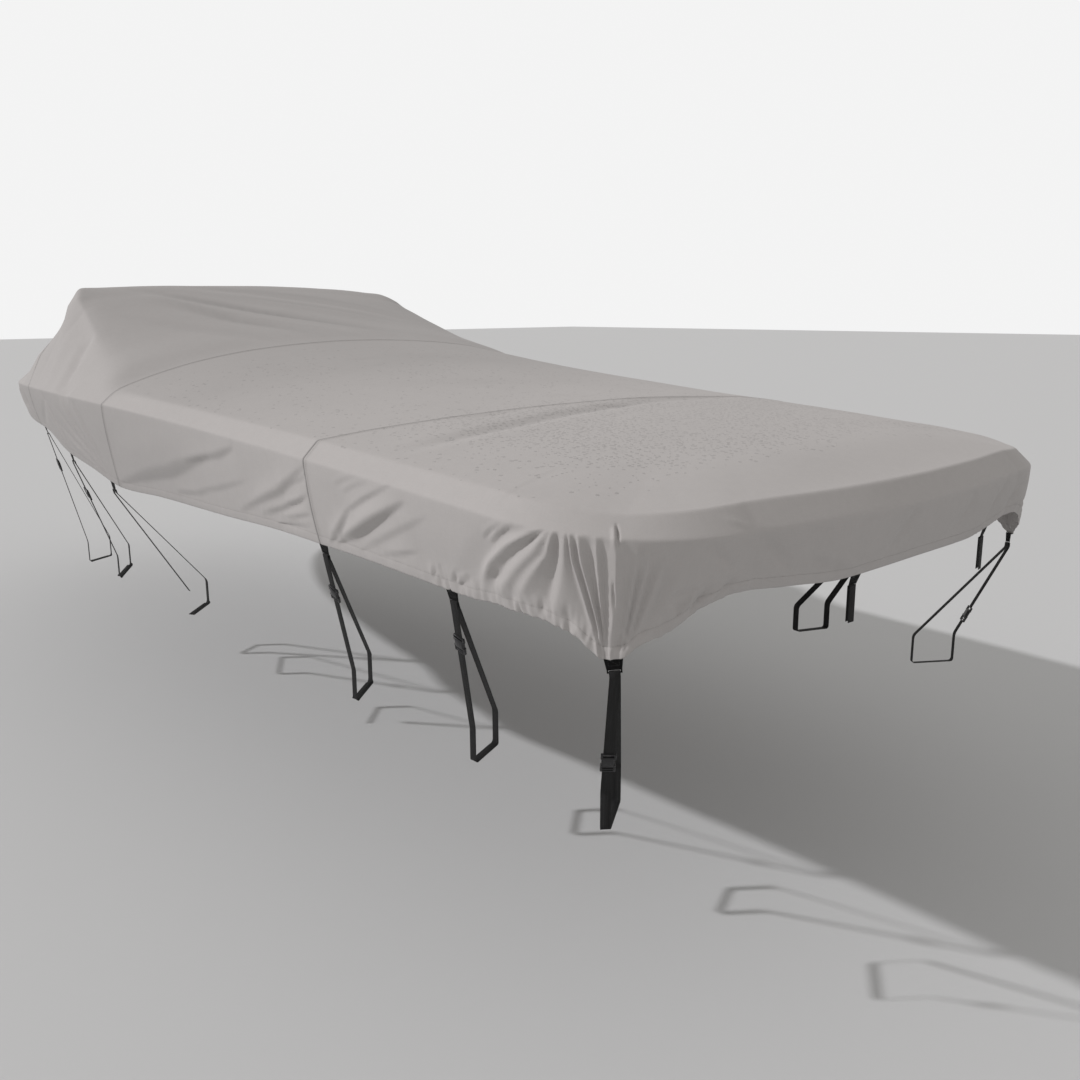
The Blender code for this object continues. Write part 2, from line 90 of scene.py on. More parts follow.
# %% [markdown]
# ## Light
# One key light comes over the port bow, so the transom falls in soft shade and every
# fold of the port side shows. A sun lamp fits, because its light is even over all six metres.
# A pale world fills the shade. The world that is seen behind the cover is a plain white of its
# own, which a Light Path node keeps apart from the light that falls on the cloth.

# %% Key light
KEY_FROM = Vector((-0.50, -0.64, 0.58))
KEY_STRENGTH = 1.90
KEY_SOFTNESS = 1.5
KEY_COLOUR = (1.0, 0.987, 1.0)

key_data = bpy.data.lights.new("key", "SUN")
key_data.energy = KEY_STRENGTH
key_data.angle = math.radians(KEY_SOFTNESS)
key_data.color = KEY_COLOUR
key = put_in_scene("key", key_data)
key.rotation_euler = KEY_FROM.to_track_quat("Z", "Y").to_euler()
print("key light comes from", tuple(round(c, 2) for c in KEY_FROM))

# %% World
WORLD_COLOUR = (1.0, 0.978, 0.958)
WORLD_STRENGTH = 0.56
BACKDROP_COLOUR = (1.0, 1.0, 1.0)
BACKDROP_STRENGTH = 0.90

world = bpy.data.worlds.new("studio")
bpy.context.scene.world = world
world.use_nodes = True
world_nodes = world.node_tree.nodes
world_links = world.node_tree.links
fill = world_nodes["Background"]
fill.inputs["Color"].default_value = (*WORLD_COLOUR, 1.0)
fill.inputs["Strength"].default_value = WORLD_STRENGTH
seen = world_nodes.new("ShaderNodeBackground")
seen.inputs["Color"].default_value = (*BACKDROP_COLOUR, 1.0)
seen.inputs["Strength"].default_value = BACKDROP_STRENGTH
path = world_nodes.new("ShaderNodeLightPath")
either = world_nodes.new("ShaderNodeMixShader")
world_links.new(path.outputs["Is Camera Ray"], either.inputs["Fac"])
world_links.new(fill.outputs[0], either.inputs[1])
world_links.new(seen.outputs[0], either.inputs[2])
world_links.new(either.outputs[0], world_nodes["World Output"].inputs["Surface"])
bpy.context.scene.view_settings.view_transform = "Standard"
print("world of", len(world_nodes), "nodes")

# %% [markdown]
# ## Floor
# A plain floor at the ground's height catches the shadow. Two helpers that every later piece
# uses are defined here: one for a material with a single Principled shader, and one that turns
# a bmesh into an object.

# %% Floor
FLOOR_COLOUR = (0.566, 0.572, 0.574)
FLOOR_ROUGHNESS = 0.9
FLOOR_SIZE = 120.0


def new_paint(name, roughness, colour=None, level=0.5):
    """A material of one Principled shader, with its node tree and the shader."""
    paint = bpy.data.materials.new(name)
    paint.use_nodes = True
    shader = paint.node_tree.nodes["Principled BSDF"]
    shader.inputs["Roughness"].default_value = roughness
    shader.inputs["Specular IOR Level"].default_value = level
    if colour:
        shader.inputs["Base Color"].default_value = (*colour, 1.0)
    return paint, paint.node_tree, shader


def as_object(name, mesh, paint=None, sharp_over=None):
    """A bmesh turned into a smooth-shaded object, with edges over an angle kept sharp."""
    data = bpy.data.meshes.new(name)
    mesh.to_mesh(data)
    mesh.free()
    data.shade_smooth()
    if sharp_over:
        data.set_sharp_from_angle(angle=math.radians(sharp_over))
    if paint:
        data.materials.append(paint)
    return put_in_scene(name, data)


floor_mesh = bmesh.new()
bmesh.ops.create_grid(floor_mesh, x_segments=1, y_segments=1, size=FLOOR_SIZE / 2)
bmesh.ops.translate(floor_mesh, verts=floor_mesh.verts, vec=(0.0, 0.0, GROUND))
floor_paint, _, _ = new_paint("floor_paint", FLOOR_ROUGHNESS, FLOOR_COLOUR)
as_object("floor", floor_mesh, floor_paint)
print("floor", FLOOR_SIZE, "m across at", GROUND)

# %% [markdown]
# ## The boat under the cloth
# A fitted cover takes its form from the hull: an outline in plan (the lower crease), a curve
# of heights along it, and cross-sections. The same few dimensions drive the solid panels, so
# the fine cloth lies close on them. Stations run from the bow's tip, heights from the
# ground, and CARRIER turns both into the part's frame.

# %% Hull dimensions
LENGTH = 6.17
HALF_BEAM = 1.150
STERN_HALF = 1.055
WIDEST_AT = 0.5794 * LENGTH
BOW_SWEEP = 2.18
BOW_FULLNESS = 0.696
CORNER = 0.40
TRANSOM_CAMBER = 0.060
CREASE_AT_BOW = 1.2475
CREASE_AT_MIDDLE = 1.378
CREASE_AT_STERN = 1.234
HEEL = 0.038
CARRIER = Vector((2.400, 0.0, 1.829))
SEAMS = (2.308, 3.510, 4.957)
SPINE_START = 0.90
SPINE_END = 5.42
HEM_TUCK = 0.040
STRAP_TO_MIDDLE = 1.015
CORNER_START = LENGTH - TRANSOM_CAMBER - CORNER
TRANSOM_HALF = STERN_HALF - CORNER

SECTIONS = [
    # station, inset, rise, centre, level
    (0.00, 0.040, 0.030, 1.285, 0.55),
    (0.60, 0.060, 0.050, 1.385, 0.55),
    (1.15, 0.110, 0.095, 1.478, 0.58),
    (1.60, 0.260, 0.215, 1.605, 0.64),
    (2.00, 0.370, 0.380, 1.764, 0.78),
    (2.20, 0.312, 0.434, 1.822, 0.88),
    (2.36, 0.268, 0.434, 1.834, 0.90),
    (2.56, 0.220, 0.364, 1.800, 0.84),
    (2.80, 0.197, 0.267, 1.745, 0.78),
    (3.11, 0.163, 0.159, 1.670, 0.72),
    (3.33, 0.111, 0.107, 1.622, 0.68),
    (3.51, 0.054, 0.047, 1.582, 0.655),
    (4.20, 0.050, 0.046, 1.487, 0.63),
    (4.957, 0.048, 0.046, 1.408, 0.615),
    (5.50, 0.048, 0.046, 1.385, 0.62),
    (5.85, 0.050, 0.050, 1.358, 0.66),
    (6.17, 0.050, 0.062, 1.300, 0.80),
]

HEM_DROPS = [
    # station, drop
    (0.00, 0.160),
    (1.20, 0.165),
    (2.31, 0.180),
    (2.50, 0.190),
    (2.85, 0.250),
    (3.20, 0.280),
    (3.55, 0.315),
    (3.90, 0.294),
    (4.40, 0.270),
    (4.75, 0.248),
    (5.20, 0.234),
    (5.60, 0.224),
    (5.71, 0.2125),
]

STERN_ROWS = [
    # distance from the transom's middle, hem height, ridge rise, tuck
    (0.00, 1.075, 0.060, 0.040),
    (0.33, 1.072, 0.060, 0.038),
    (0.52, 1.087, 0.061, 0.034),
    (0.71, 1.101, 0.058, 0.030),
    (0.80, 1.086, 0.054, 0.026),
    (0.89, 1.040, 0.048, 0.020),
    (0.96, 1.014, 0.044, 0.016),
    (1.00, 0.988, 0.042, 0.012),
    (1.03, 0.986, 0.042, 0.012),
    (1.07, 1.006, 0.043, 0.016),
    (1.10, 1.030, 0.044, 0.020),
    (1.20, 1.056, 0.046, 0.030),
    (1.31, 1.059, 0.046, 0.040),
]

# %% [markdown]
# A table becomes a smooth curve with a cubic through its rows. The slopes are harmonic means
# of the neighbouring steps, so the curve never overshoots a row.


# %% Curves through tables
def curve(rows, column):
    """A function that reads one column of a table at any place along its first column."""
    places = [row[0] for row in rows]
    values = [row[column] for row in rows]
    pairs = zip(rows, rows[1:])
    steps = [(after[column] - before[column]) / (after[0] - before[0]) for before, after in pairs]
    slopes = [0.0]
    for before, after in zip(steps, steps[1:]):
        slopes.append(2.0 * before * after / (before + after) if before * after > 0.0 else 0.0)
    slopes.append(0.0)

    def read(at):
        if at <= places[0]:
            return values[0]
        if at >= places[-1]:
            return values[-1]
        i = bisect.bisect_right(places, at) - 1
        step = places[i + 1] - places[i]
        t = (at - places[i]) / step
        return (
            values[i] * (1 + 2 * t) * (1 - t) ** 2
            + slopes[i] * step * t * (1 - t) ** 2
            + values[i + 1] * t * t * (3 - 2 * t)
            - slopes[i + 1] * step * t * t * (1 - t)
        )

    return read


inset_at, rise_at, centre_at, level_at = (curve(SECTIONS, k) for k in (1, 2, 3, 4))
hem_drop_at = curve(HEM_DROPS, 1)
hem_height_at, stern_rise_at, tuck_at = (curve(STERN_ROWS, k) for k in (1, 2, 3))
print("top of the cloth at the windscreen:", round(centre_at(2.36), 3), "m above the ground")

# %% [markdown]
# Seen from above, the lower crease sweeps in to the bow, runs nearly straight along the side,
# turns round the corner and crosses the transom with a slight camber. One number, u, walks
# along all of it, so that columns of cloth can be set up anywhere by the same code.

# %% The outline in plan
U_STEP = 0.004
STERN_SAMPLES = 40
HALVINGS = 40


def half_beam(station):
    """Half the breadth over the lower crease."""
    if station < WIDEST_AT:
        taper = 1.0 - max(station, 0.0) / WIDEST_AT
        return HALF_BEAM * (1.0 - taper**BOW_SWEEP) ** BOW_FULLNESS
    run = (station - WIDEST_AT) / (LENGTH - WIDEST_AT)
    return HALF_BEAM - (HALF_BEAM - STERN_HALF) * run**2


def crease_height(station):
    t = station / LENGTH
    return (
        CREASE_AT_BOW * (1 - t) * (1 - 2 * t)
        + CREASE_AT_MIDDLE * 4 * t * (1 - t)
        + CREASE_AT_STERN * t * (2 * t - 1)
    )


def outline(u):
    """The lower crease: u is 0 to 1 along the side, to 2 round the corner, to 3 amidships."""
    if u <= 1.0:
        station = CORNER_START * u
        return station, half_beam(station)
    if u <= 2.0:
        angle = (u - 1.0) * math.pi / 2
        breadth = half_beam(CORNER_START) - TRANSOM_HALF
        return CORNER_START + CORNER * math.sin(angle), TRANSOM_HALF + breadth * math.cos(angle)
    across = TRANSOM_HALF * (3.0 - u)
    return LENGTH - TRANSOM_CAMBER * (across / TRANSOM_HALF) ** 2, across


def outward(u):
    """The outward direction of the crease in plan."""
    if u <= 0.0:
        return -1.0, 0.0
    if u >= 3.0:
        return 1.0, 0.0
    x0, y0 = outline(max(u - U_STEP, 0.0))
    x1, y1 = outline(min(u + U_STEP, 3.0))
    length = math.hypot(x1 - x0, y1 - y0)
    return (y0 - y1) / length, (x1 - x0) / length


def along_stern(u):
    """Distance along the crease from the transom's middle, for u of 1 to 3."""
    total = 0.0
    last = outline(3.0)
    for k in range(1, STERN_SAMPLES + 1):
        here = outline(3.0 + (u - 3.0) * k / STERN_SAMPLES)
        total += math.hypot(here[0] - last[0], here[1] - last[1])
        last = here
    return total


def u_at_distance(distance):
    """u of the place on the stern's crease this far from the transom's middle."""
    low, high = 1.0, 3.0
    for _ in range(HALVINGS):
        middle = (low + high) / 2
        if along_stern(middle) > distance:
            low = middle
        else:
            high = middle
    return low


def section_top(station, across):
    """Height of the deck cloth at a station, for a distance from the centreline.

    The section is a curve with three control points: the ridge, a shoulder that is as high as
    the centre, and the centre itself.
    """
    ridge = half_beam(station) - inset_at(station)
    low = crease_height(station) + rise_at(station)
    high = centre_at(station)
    level = level_at(station) * ridge
    if across >= ridge:
        return low
    a = ridge - 2 * level
    b = 2 * level - 2 * ridge
    c = ridge - across
    t = -c / b if abs(a) < 1e-6 else (-b - math.sqrt(b * b - 4 * a * c)) / (2 * a)
    return low * (1 - t) ** 2 + high * (2 * t * (1 - t) + t * t)


print("half breadth amidships:", round(half_beam(WIDEST_AT), 3), "m")

# %% [markdown]
# ## The folds
# Folds are what makes cloth read as cloth, so each one is placed one by one. Their places are
# distances along the lower crease from the bow's tip and a "fall": 0 at the crease, 1 at the
# hem and -1 at the upper ridge. Most folds of the taut skirt are steps: the cloth swells to a
# crest, drops over a narrow facet, and comes back slowly. The facet is the dark stripe one
# sees. Sunk and swollen stretches without an edge are soft folds.

# %% Tables of folds
STEP_FOLDS = [
    # along, fall of three points from foot to top; reach, facet's width, height
    (3.52, 0.93, 4.05, 0.62, 4.38, 0.28, 0.060, 0.050, 0.0075),
    (4.20, 0.44, 4.45, 0.24, 4.56, 0.10, 0.035, 0.022, 0.0050),
    (4.05, 0.87, 4.17, 0.83, 4.30, 0.77, 0.020, 0.013, 0.0034),
    (4.22, 0.79, 4.40, 0.66, 4.61, 0.47, 0.024, 0.014, 0.0026),
    (4.52, 0.88, 4.80, 0.48, 4.955, 0.08, 0.030, 0.024, 0.0052),
    (4.66, 0.84, 4.79, 0.69, 4.93, 0.46, 0.018, 0.014, 0.0042),
    (4.76, 0.83, 4.85, 0.75, 4.95, 0.64, 0.014, 0.011, 0.0036),
    (4.74, 0.90, 4.84, 0.85, 4.94, 0.80, 0.012, 0.009, 0.0034),
    (4.82, 0.62, 4.89, 0.54, 4.955, 0.40, 0.012, 0.010, 0.0026),
    (4.86, 0.36, 4.92, 0.26, 4.957, 0.18, 0.012, 0.009, 0.0022),
    (5.015, 0.93, 5.08, 0.72, 5.145, 0.45, 0.016, 0.017, 0.0056),
    (5.12, 0.50, 5.23, 0.24, 5.345, 0.00, 0.014, 0.009, 0.0036),
    (5.045, 0.92, 5.195, 0.62, 5.40, 0.12, 0.030, 0.025, 0.0088),
    (5.15, 0.92, 5.30, 0.60, 5.48, 0.22, 0.028, 0.018, 0.0030),
    (5.26, 0.86, 5.34, 0.76, 5.42, 0.66, 0.014, 0.011, 0.0032),
    (5.09, 0.20, 5.14, 0.10, 5.20, 0.02, 0.010, 0.007, 0.0018),
    (5.13, 0.26, 5.18, 0.14, 5.25, 0.04, 0.010, 0.007, 0.0018),
    (5.553, 0.90, 5.575, 0.82, 5.607, 0.72, 0.008, 0.008, 0.0040),
    (5.535, 0.88, 5.545, 0.80, 5.562, 0.70, 0.007, 0.006, 0.0030),
    (5.500, 0.90, 5.495, 0.82, 5.490, 0.72, 0.007, 0.006, 0.0026),
    (5.455, 0.92, 5.465, 0.83, 5.480, 0.74, 0.008, 0.007, 0.0026),
    (5.695, 0.30, 5.725, 0.16, 5.770, 0.02, 0.010, 0.011, 0.0046),
    (5.672, 0.26, 5.698, 0.15, 5.738, 0.03, 0.008, 0.007, 0.0028),
    (3.38, 0.92, 3.16, 0.50, 2.98, 0.06, 0.022, 0.014, 0.0052),
    (3.36, 0.86, 3.08, 0.58, 2.88, 0.26, 0.020, 0.013, 0.0050),
    (3.30, 0.93, 3.05, 0.73, 2.84, 0.52, 0.018, 0.012, 0.0046),
    (3.42, 0.80, 3.26, 0.40, 3.14, 0.04, 0.024, 0.015, 0.0046),
    (2.98, 0.92, 2.80, 0.55, 2.62, 0.08, 0.030, 0.020, 0.0052),
    (2.28, 0.90, 2.10, 0.50, 1.98, 0.08, 0.018, 0.013, 0.0062),
    (2.24, 0.94, 2.00, 0.56, 1.84, 0.10, 0.018, 0.013, 0.0060),
    (2.16, 0.94, 1.90, 0.60, 1.70, 0.14, 0.020, 0.014, 0.0056),
    (1.40, 0.90, 1.62, 0.50, 1.80, 0.10, 0.035, 0.022, 0.0034),
    (0.50, 0.95, 0.62, 0.50, 0.80, 0.05, 0.030, 0.020, 0.0034),
]

SOFT_FOLDS = [
    # along, fall of three points; half-width, height (- sunk, + swollen)
    (3.60, 0.55, 3.95, 0.34, 4.30, 0.06, 0.070, 0.006),
    (4.62, 0.80, 4.74, 0.56, 4.86, 0.30, 0.040, 0.004),
    (5.10, 0.80, 5.22, 0.46, 5.34, 0.22, 0.020, 0.004),
    (2.44, 0.92, 2.56, 0.55, 2.70, 0.10, 0.024, -0.005),
    (2.50, -1.0, 2.83, -0.85, 2.90, -0.30, 0.045, -0.019),
    (2.86, -0.60, 2.92, -0.20, 3.10, 0.02, 0.040, -0.016),
    (2.40, -0.90, 2.62, -0.60, 2.74, -0.10, 0.060, 0.010),
    (2.28, -0.97, 2.42, -0.87, 2.60, -0.85, 0.085, 0.019),
    (2.02, -0.20, 2.22, -0.27, 2.46, -0.34, 0.100, 0.022),
    (5.54, 0.96, 5.46, 0.70, 5.40, 0.40, 0.030, -0.004),
    (6.009, -0.62, 6.012, -0.30, 6.013, 0.06, 0.0030, -0.009),
    (6.002, -0.50, 6.004, -0.20, 6.004, 0.10, 0.0050, 0.004),
    (6.003, 0.34, 6.005, 0.46, 6.007, 0.62, 0.0028, -0.007),
    (6.102, 0.66, 6.152, 0.62, 6.217, 0.66, 0.0070, -0.004),
    (6.092, 0.78, 6.142, 0.74, 6.207, 0.78, 0.0060, -0.003),
]

TRANSOM_FOLDS = [
    # distance from the transom's middle (- to port), fall of three points; half-width, height
    (-0.755, -0.66, -0.713, -0.42, -0.672, -0.10, 0.0070, 0.0024),
    (-0.661, 0.02, -0.606, 0.34, -0.533, 0.74, 0.018, -0.0080),
    (-0.500, 0.50, -0.420, 0.70, -0.329, 0.88, 0.012, -0.0060),
    (-0.370, 0.55, -0.330, 0.72, -0.280, 0.93, 0.012, 0.0055),
    (-0.060, 0.08, -0.120, 0.46, -0.172, 0.88, 0.020, -0.0090),
    (-0.800, 0.08, -0.776, 0.22, -0.717, 0.60, 0.014, -0.0060),
    (0.740, 0.22, 0.677, 0.55, 0.589, 0.90, 0.018, -0.0070),
    (0.800, 0.12, 0.760, 0.46, 0.700, 0.84, 0.015, 0.0040),
    (0.563, 0.07, 0.480, 0.45, 0.440, 0.85, 0.020, -0.0070),
    (0.280, 0.10, 0.250, 0.42, 0.160, 0.80, 0.024, -0.0070),
    (-0.875, 0.95, -0.850, 0.80, -0.820, 0.66, 0.008, 0.0070),
    (-0.845, 0.94, -0.815, 0.82, -0.785, 0.72, 0.008, -0.0070),
    (-0.810, 0.95, -0.785, 0.86, -0.750, 0.80, 0.007, 0.0060),
    (-0.775, 0.93, -0.745, 0.82, -0.715, 0.72, 0.008, -0.0060),
    (-0.735, 0.95, -0.700, 0.88, -0.655, 0.84, 0.007, 0.0050),
]

# %% [markdown]
# Round each stern corner the strap gathers the skirt into a fan. There the folds lie side by
# side, so a table of crests and valleys gives the whole relief, in order from the side to the
# transom. Between two lines the cloth is a facet, and each line is either crisp or rounded.

# %% The fan at the corner strap
CORNER_FAN = [
    # distance from the strap at fall 0, 1/4, 1/2, 3/4 and 1; height; gone by fall; 1 if rounded
    (-0.330, -0.385, -0.430, -0.470, -0.500, 0.0000, 2.00, 1),
    (-0.215, -0.290, -0.345, -0.385, -0.420, -0.0045, 1.00, 1),
    (-0.165, -0.252, -0.314, -0.350, -0.385, 0.0080, 0.85, 0),
    (-0.152, -0.215, -0.278, -0.325, -0.355, -0.0085, 0.95, 0),
    (-0.146, -0.180, -0.232, -0.282, -0.302, 0.0075, 1.20, 1),
    (-0.141, -0.158, -0.212, -0.254, -0.256, 0.0025, 1.30, 1),
    (-0.134, -0.146, -0.186, -0.224, -0.205, 0.0085, 1.60, 0),
    (-0.124, -0.130, -0.139, -0.155, -0.178, -0.0090, 1.60, 0),
    (-0.106, -0.107, -0.113, -0.124, -0.142, 0.0055, 1.60, 1),
    (-0.102, -0.096, -0.079, -0.058, -0.041, -0.0020, 1.60, 0),
    (-0.097, -0.090, -0.070, -0.048, -0.032, 0.0055, 1.60, 0),
    (-0.087, -0.079, -0.060, -0.040, -0.026, -0.0060, 1.60, 1),
    (-0.079, -0.069, -0.050, -0.033, -0.021, 0.0080, 1.60, 0),
    (-0.058, -0.049, -0.039, -0.027, -0.018, -0.0055, 1.60, 1),
    (-0.040, -0.035, -0.030, -0.022, -0.015, 0.0055, 1.60, 0),
    (-0.026, -0.024, -0.021, -0.017, -0.012, -0.0045, 1.60, 0),
    (0.002, 0.003, 0.001, -0.004, -0.006, 0.0085, 1.60, 0),
    (0.038, 0.032, 0.025, 0.017, 0.011, -0.0040, 1.60, 1),
    (0.051, 0.043, 0.034, 0.024, 0.015, 0.0030, 1.60, 1),
    (0.064, 0.056, 0.044, 0.031, 0.020, -0.0065, 1.60, 1),
    (0.078, 0.070, 0.055, 0.039, 0.025, 0.0035, 1.60, 1),
    (0.094, 0.086, 0.070, 0.050, 0.031, -0.0065, 1.60, 1),
    (0.113, 0.104, 0.086, 0.063, 0.039, 0.0035, 1.60, 1),
    (0.138, 0.128, 0.108, 0.081, 0.050, -0.0060, 1.40, 1),
    (0.172, 0.160, 0.140, 0.108, 0.068, 0.0020, 1.40, 1),
    (0.265, 0.255, 0.235, 0.200, 0.150, 0.0000, 2.00, 1),
]
FAN_START = CORNER_FAN[0][4]
FAN_END = CORNER_FAN[-1][0]
FAN_TOP, FAN_FOOT = -0.12, 1.2
FAN_DIES_OVER = 0.30
FAN_CALM_AT_HEM = 0.75
# Where each change starts, and over how much it is done.
FAN_FROM_CREASE = (-0.06, 0.20)
FAN_TO_HEM = (0.62, 0.36)
FAN_PAST_STRAP = (0.01, 0.03)
FAN_LATE = (0.02, 0.40)


def smooth_step(value):
    value = min(1.0, max(0.0, value))
    return value * value * (3.0 - 2.0 * value)


def fade_in(value, start, over):
    """0 up to a start, 1 from where the change is over."""
    return smooth_step((value - start) / over)


def fan_relief(from_strap, fall):
    """How far the fan lifts the cloth at a distance from the strap and a fall."""
    if not (FAN_START < from_strap < FAN_END and FAN_TOP < fall < FAN_FOOT):
        return 0.0
    level = 4.0 * min(1.0, max(0.0, fall))
    k = min(3, int(level))
    places = [row[k] + (row[k + 1] - row[k]) * (level - k) for row in CORNER_FAN]
    i = bisect.bisect_right(places, from_strap)
    if i == 0 or i == len(places):
        return 0.0
    before, after = (
        row[5] * (1.0 - smooth_step((fall - row[6] + FAN_DIES_OVER) / FAN_DIES_OVER))
        for row in CORNER_FAN[i - 1 : i + 1]
    )
    share = (from_strap - places[i - 1]) / (places[i] - places[i - 1])
    rise = share * share * (3.0 - 2.0 * share)
    rise += (1 - CORNER_FAN[i - 1][7]) * share * (1.0 - share) ** 2
    rise -= (1 - CORNER_FAN[i][7]) * share * share * (1.0 - share)
    relief = before + (after - before) * rise
    late_to_transom = fade_in(from_strap, *FAN_PAST_STRAP) * (1.0 - fade_in(fall, *FAN_LATE))
    at_hem = 1.0 - FAN_CALM_AT_HEM * fade_in(fall, *FAN_TO_HEM)
    return relief * (1.0 - late_to_transom) * fade_in(fall, *FAN_FROM_CREASE) * at_hem


print("lines of the fan:", len(CORNER_FAN))

# %% [markdown]
# The deck is taut, so its folds are long and shallow. Folds that run with the light get little
# shade from it, so darker streaks are painted along them as shade; they and a darkening towards
# the bow are marks on the cloth, which its material reads later. The puckers of the hem are
# noise, and a table says how strong they are along it.

# %% Folds of the deck, painted fold shade, darkening to the bow and puckers
DECK_FOLDS = [
    # station, across (- to port), three times; half-width, depth
    (2.44, -0.62, 2.95, -0.20, 3.42, 0.34, 0.034, -0.009),
    (2.48, -0.66, 3.05, -0.30, 3.50, 0.10, 0.032, 0.007),
    (2.62, -0.64, 3.06, -0.38, 3.46, -0.04, 0.032, -0.008),
    (2.70, -0.72, 3.10, -0.50, 3.44, -0.22, 0.030, 0.005),
    (2.42, -0.50, 2.80, -0.08, 3.16, 0.44, 0.036, 0.006),
    (2.40, -0.36, 2.72, 0.10, 3.02, 0.62, 0.036, -0.006),
    (2.78, -0.78, 3.12, -0.62, 3.44, -0.42, 0.030, -0.006),
    (5.24, -1.00, 5.15, -0.50, 5.03, 0.10, 0.036, -0.013),
    (5.10, -0.30, 5.02, 0.20, 4.98, 0.80, 0.040, -0.010),
    (5.30, -1.00, 5.24, -0.50, 5.14, 0.10, 0.050, 0.004),
    (4.995, -0.62, 5.00, -0.50, 4.99, -0.36, 0.012, -0.004),
    (5.02, -0.10, 5.04, 0.02, 5.04, 0.14, 0.010, -0.004),
    (4.78, -0.10, 4.83, 0.02, 4.90, 0.10, 0.010, -0.004),
    (4.72, 0.35, 4.80, 0.46, 4.92, 0.55, 0.012, -0.004),
    (5.55, 0.52, 5.66, 0.60, 5.80, 0.64, 0.014, -0.004),
    (3.60, -0.55, 3.85, -0.50, 4.10, -0.52, 0.010, -0.003),
    (3.75, -0.30, 3.95, -0.24, 4.20, -0.27, 0.009, -0.003),
    (4.15, -0.70, 4.35, -0.66, 4.55, -0.68, 0.010, -0.003),
    (1.40, -0.30, 1.90, -0.12, 2.30, 0.10, 0.045, -0.008),
    (1.50, 0.34, 1.92, 0.22, 2.32, 0.14, 0.045, -0.008),
    (1.10, -0.10, 1.60, 0.02, 2.20, -0.06, 0.060, 0.006),
]

# Streaks of painted shade along the deck's folds, where the key light shades them too little.
PAINTED_FOLD_SHADE = [
    # station, across of three points; half-width, darkness
    (2.46, -0.57, 2.98, -0.18, 3.38, 0.29, 0.036, 0.15),
    (2.60, -0.56, 3.08, -0.37, 3.46, -0.10, 0.040, 0.13),
    (2.52, -0.53, 3.10, -0.06, 3.42, 0.26, 0.028, 0.08),
    (2.44, -0.50, 2.80, 0.02, 3.10, 0.46, 0.045, 0.11),
    (2.38, -0.40, 2.62, 0.14, 2.88, 0.60, 0.045, 0.10),
    (2.90, -0.72, 3.20, -0.52, 3.46, -0.34, 0.040, 0.05),
    (5.20, -0.90, 5.08, -0.28, 4.98, 0.46, 0.040, 0.07),
    (3.80, -0.20, 3.95, 0.10, 4.10, 0.50, 0.090, 0.03),
    (4.30, -0.60, 4.45, -0.20, 4.60, 0.40, 0.080, 0.03),
]

BOW_DARKENING = [
    # station, how much darker the cloth is made towards the bow (less on the band)
    (2.30, 0.20),
    (3.60, 0.17),
    (3.95, 0.16),
    (4.35, 0.07),
    (4.95, 0.00),
]
bow_darkening_at = curve(BOW_DARKENING, 1)

HEM_PUCKERS = [
    # distance from the corner strap along the crease, height of the puckers
    (-1.60, 0.0006),
    (-0.62, 0.0012),
    (-0.50, 0.0048),
    (-0.40, 0.0034),
    (-0.28, 0.0050),
    (-0.10, 0.0046),
    (0.00, 0.0042),
    (0.12, 0.0044),
    (0.25, 0.0036),
    (0.36, 0.0020),
    (0.60, 0.0012),
    (0.95, 0.0000),
]
pucker_at = curve(HEM_PUCKERS, 1)
by_hand = (STEP_FOLDS, SOFT_FOLDS, TRANSOM_FOLDS, CORNER_FAN, DECK_FOLDS)
print("folds by hand:", sum(len(table) for table in by_hand))

# %% [markdown]
# A fold fades in and out along its line. Across the line a soft fold is a round swelling. A
# step climbs slowly to a crest, drops over a facet that narrows towards both ends, and comes
# back slowly.

# %% Across and along a fold
SOFT_ENDS = 0.75
SOFT_REACH = 3.0
STEP_ENDS = 0.6
STEP_REACH = 4.0
STEP_RETURN = 1.2
FACET_HOLLOW = 1.3
FACET_NARROWEST = 0.25
SPARE = 0.03
LARGE_RUFFLE = (36.0, 12.0)
FINE_RUFFLE = (88.0, 30.0)
RUFFLE_BASE, RUFFLE_CREST, RUFFLE_GRAIN = 0.75, 2.2, 0.7


def in_metres(fold, drop, band):
    """A fold with its falls turned to metres below the crease (above it where negative)."""
    turned = list(fold)
    for k in (1, 3, 5):
        turned[k] *= drop if fold[k] > 0.0 else band
    return turned


def across_fold(fold, along, place):
    """Signed distance from a fold's line (+ on its right), and how far along it the place is."""
    best = None
    for k in (0, 2):
        dx, dy = fold[k + 2] - fold[k], fold[k + 1] - fold[k + 3]
        px, py = along - fold[k], fold[k + 1] - place
        t = min(1.0, max(0.0, (px * dx + py * dy) / (dx * dx + dy * dy)))
        distance = math.hypot(px - dx * t, py - dy * t)
        if best is None or distance < abs(best[0]):
            best = (math.copysign(distance, px * dy - py * dx), (k / 2 + t) / 2)
    return best


def soft_shift(folds, along, place):
    total = 0.0
    for fold in folds:
        width, height = fold[6:]
        distance, share = across_fold(fold, along, place)
        if abs(distance) < SOFT_REACH * width:
            total += height * math.exp(-((distance / width) ** 2)) * math.sin(math.pi * share) ** SOFT_ENDS
    return total


def step_shift(folds, along, place):
    """A step fades out at both ends. Its facet narrows with it, and so keeps its slant."""
    total = 0.0
    for fold in folds:
        reach, facet, height = fold[6:]
        distance, share = across_fold(fold, along, place)
        taper = math.sin(math.pi * share) ** STEP_ENDS
        wide = facet * max(FACET_NARROWEST, taper)
        past = abs(distance) - wide / 2
        if past > STEP_REACH * reach:
            continue
        if past > 0.0:
            profile = -math.copysign(math.exp(-((past / reach) ** STEP_RETURN)), distance)
        else:
            profile = 1.0 - 2.0 * (distance / wide + 0.5) ** FACET_HOLLOW
        total += height * profile * taper
    return total


def folds_near(folds, along):
    """Only the folds that can reach a column, to save work."""
    near = []
    for fold in folds:
        ends = (fold[0], fold[2], fold[4])
        reach = STEP_REACH * fold[6] + SPARE
        if min(ends) - reach < along < max(ends) + reach:
            near.append(fold)
    return near


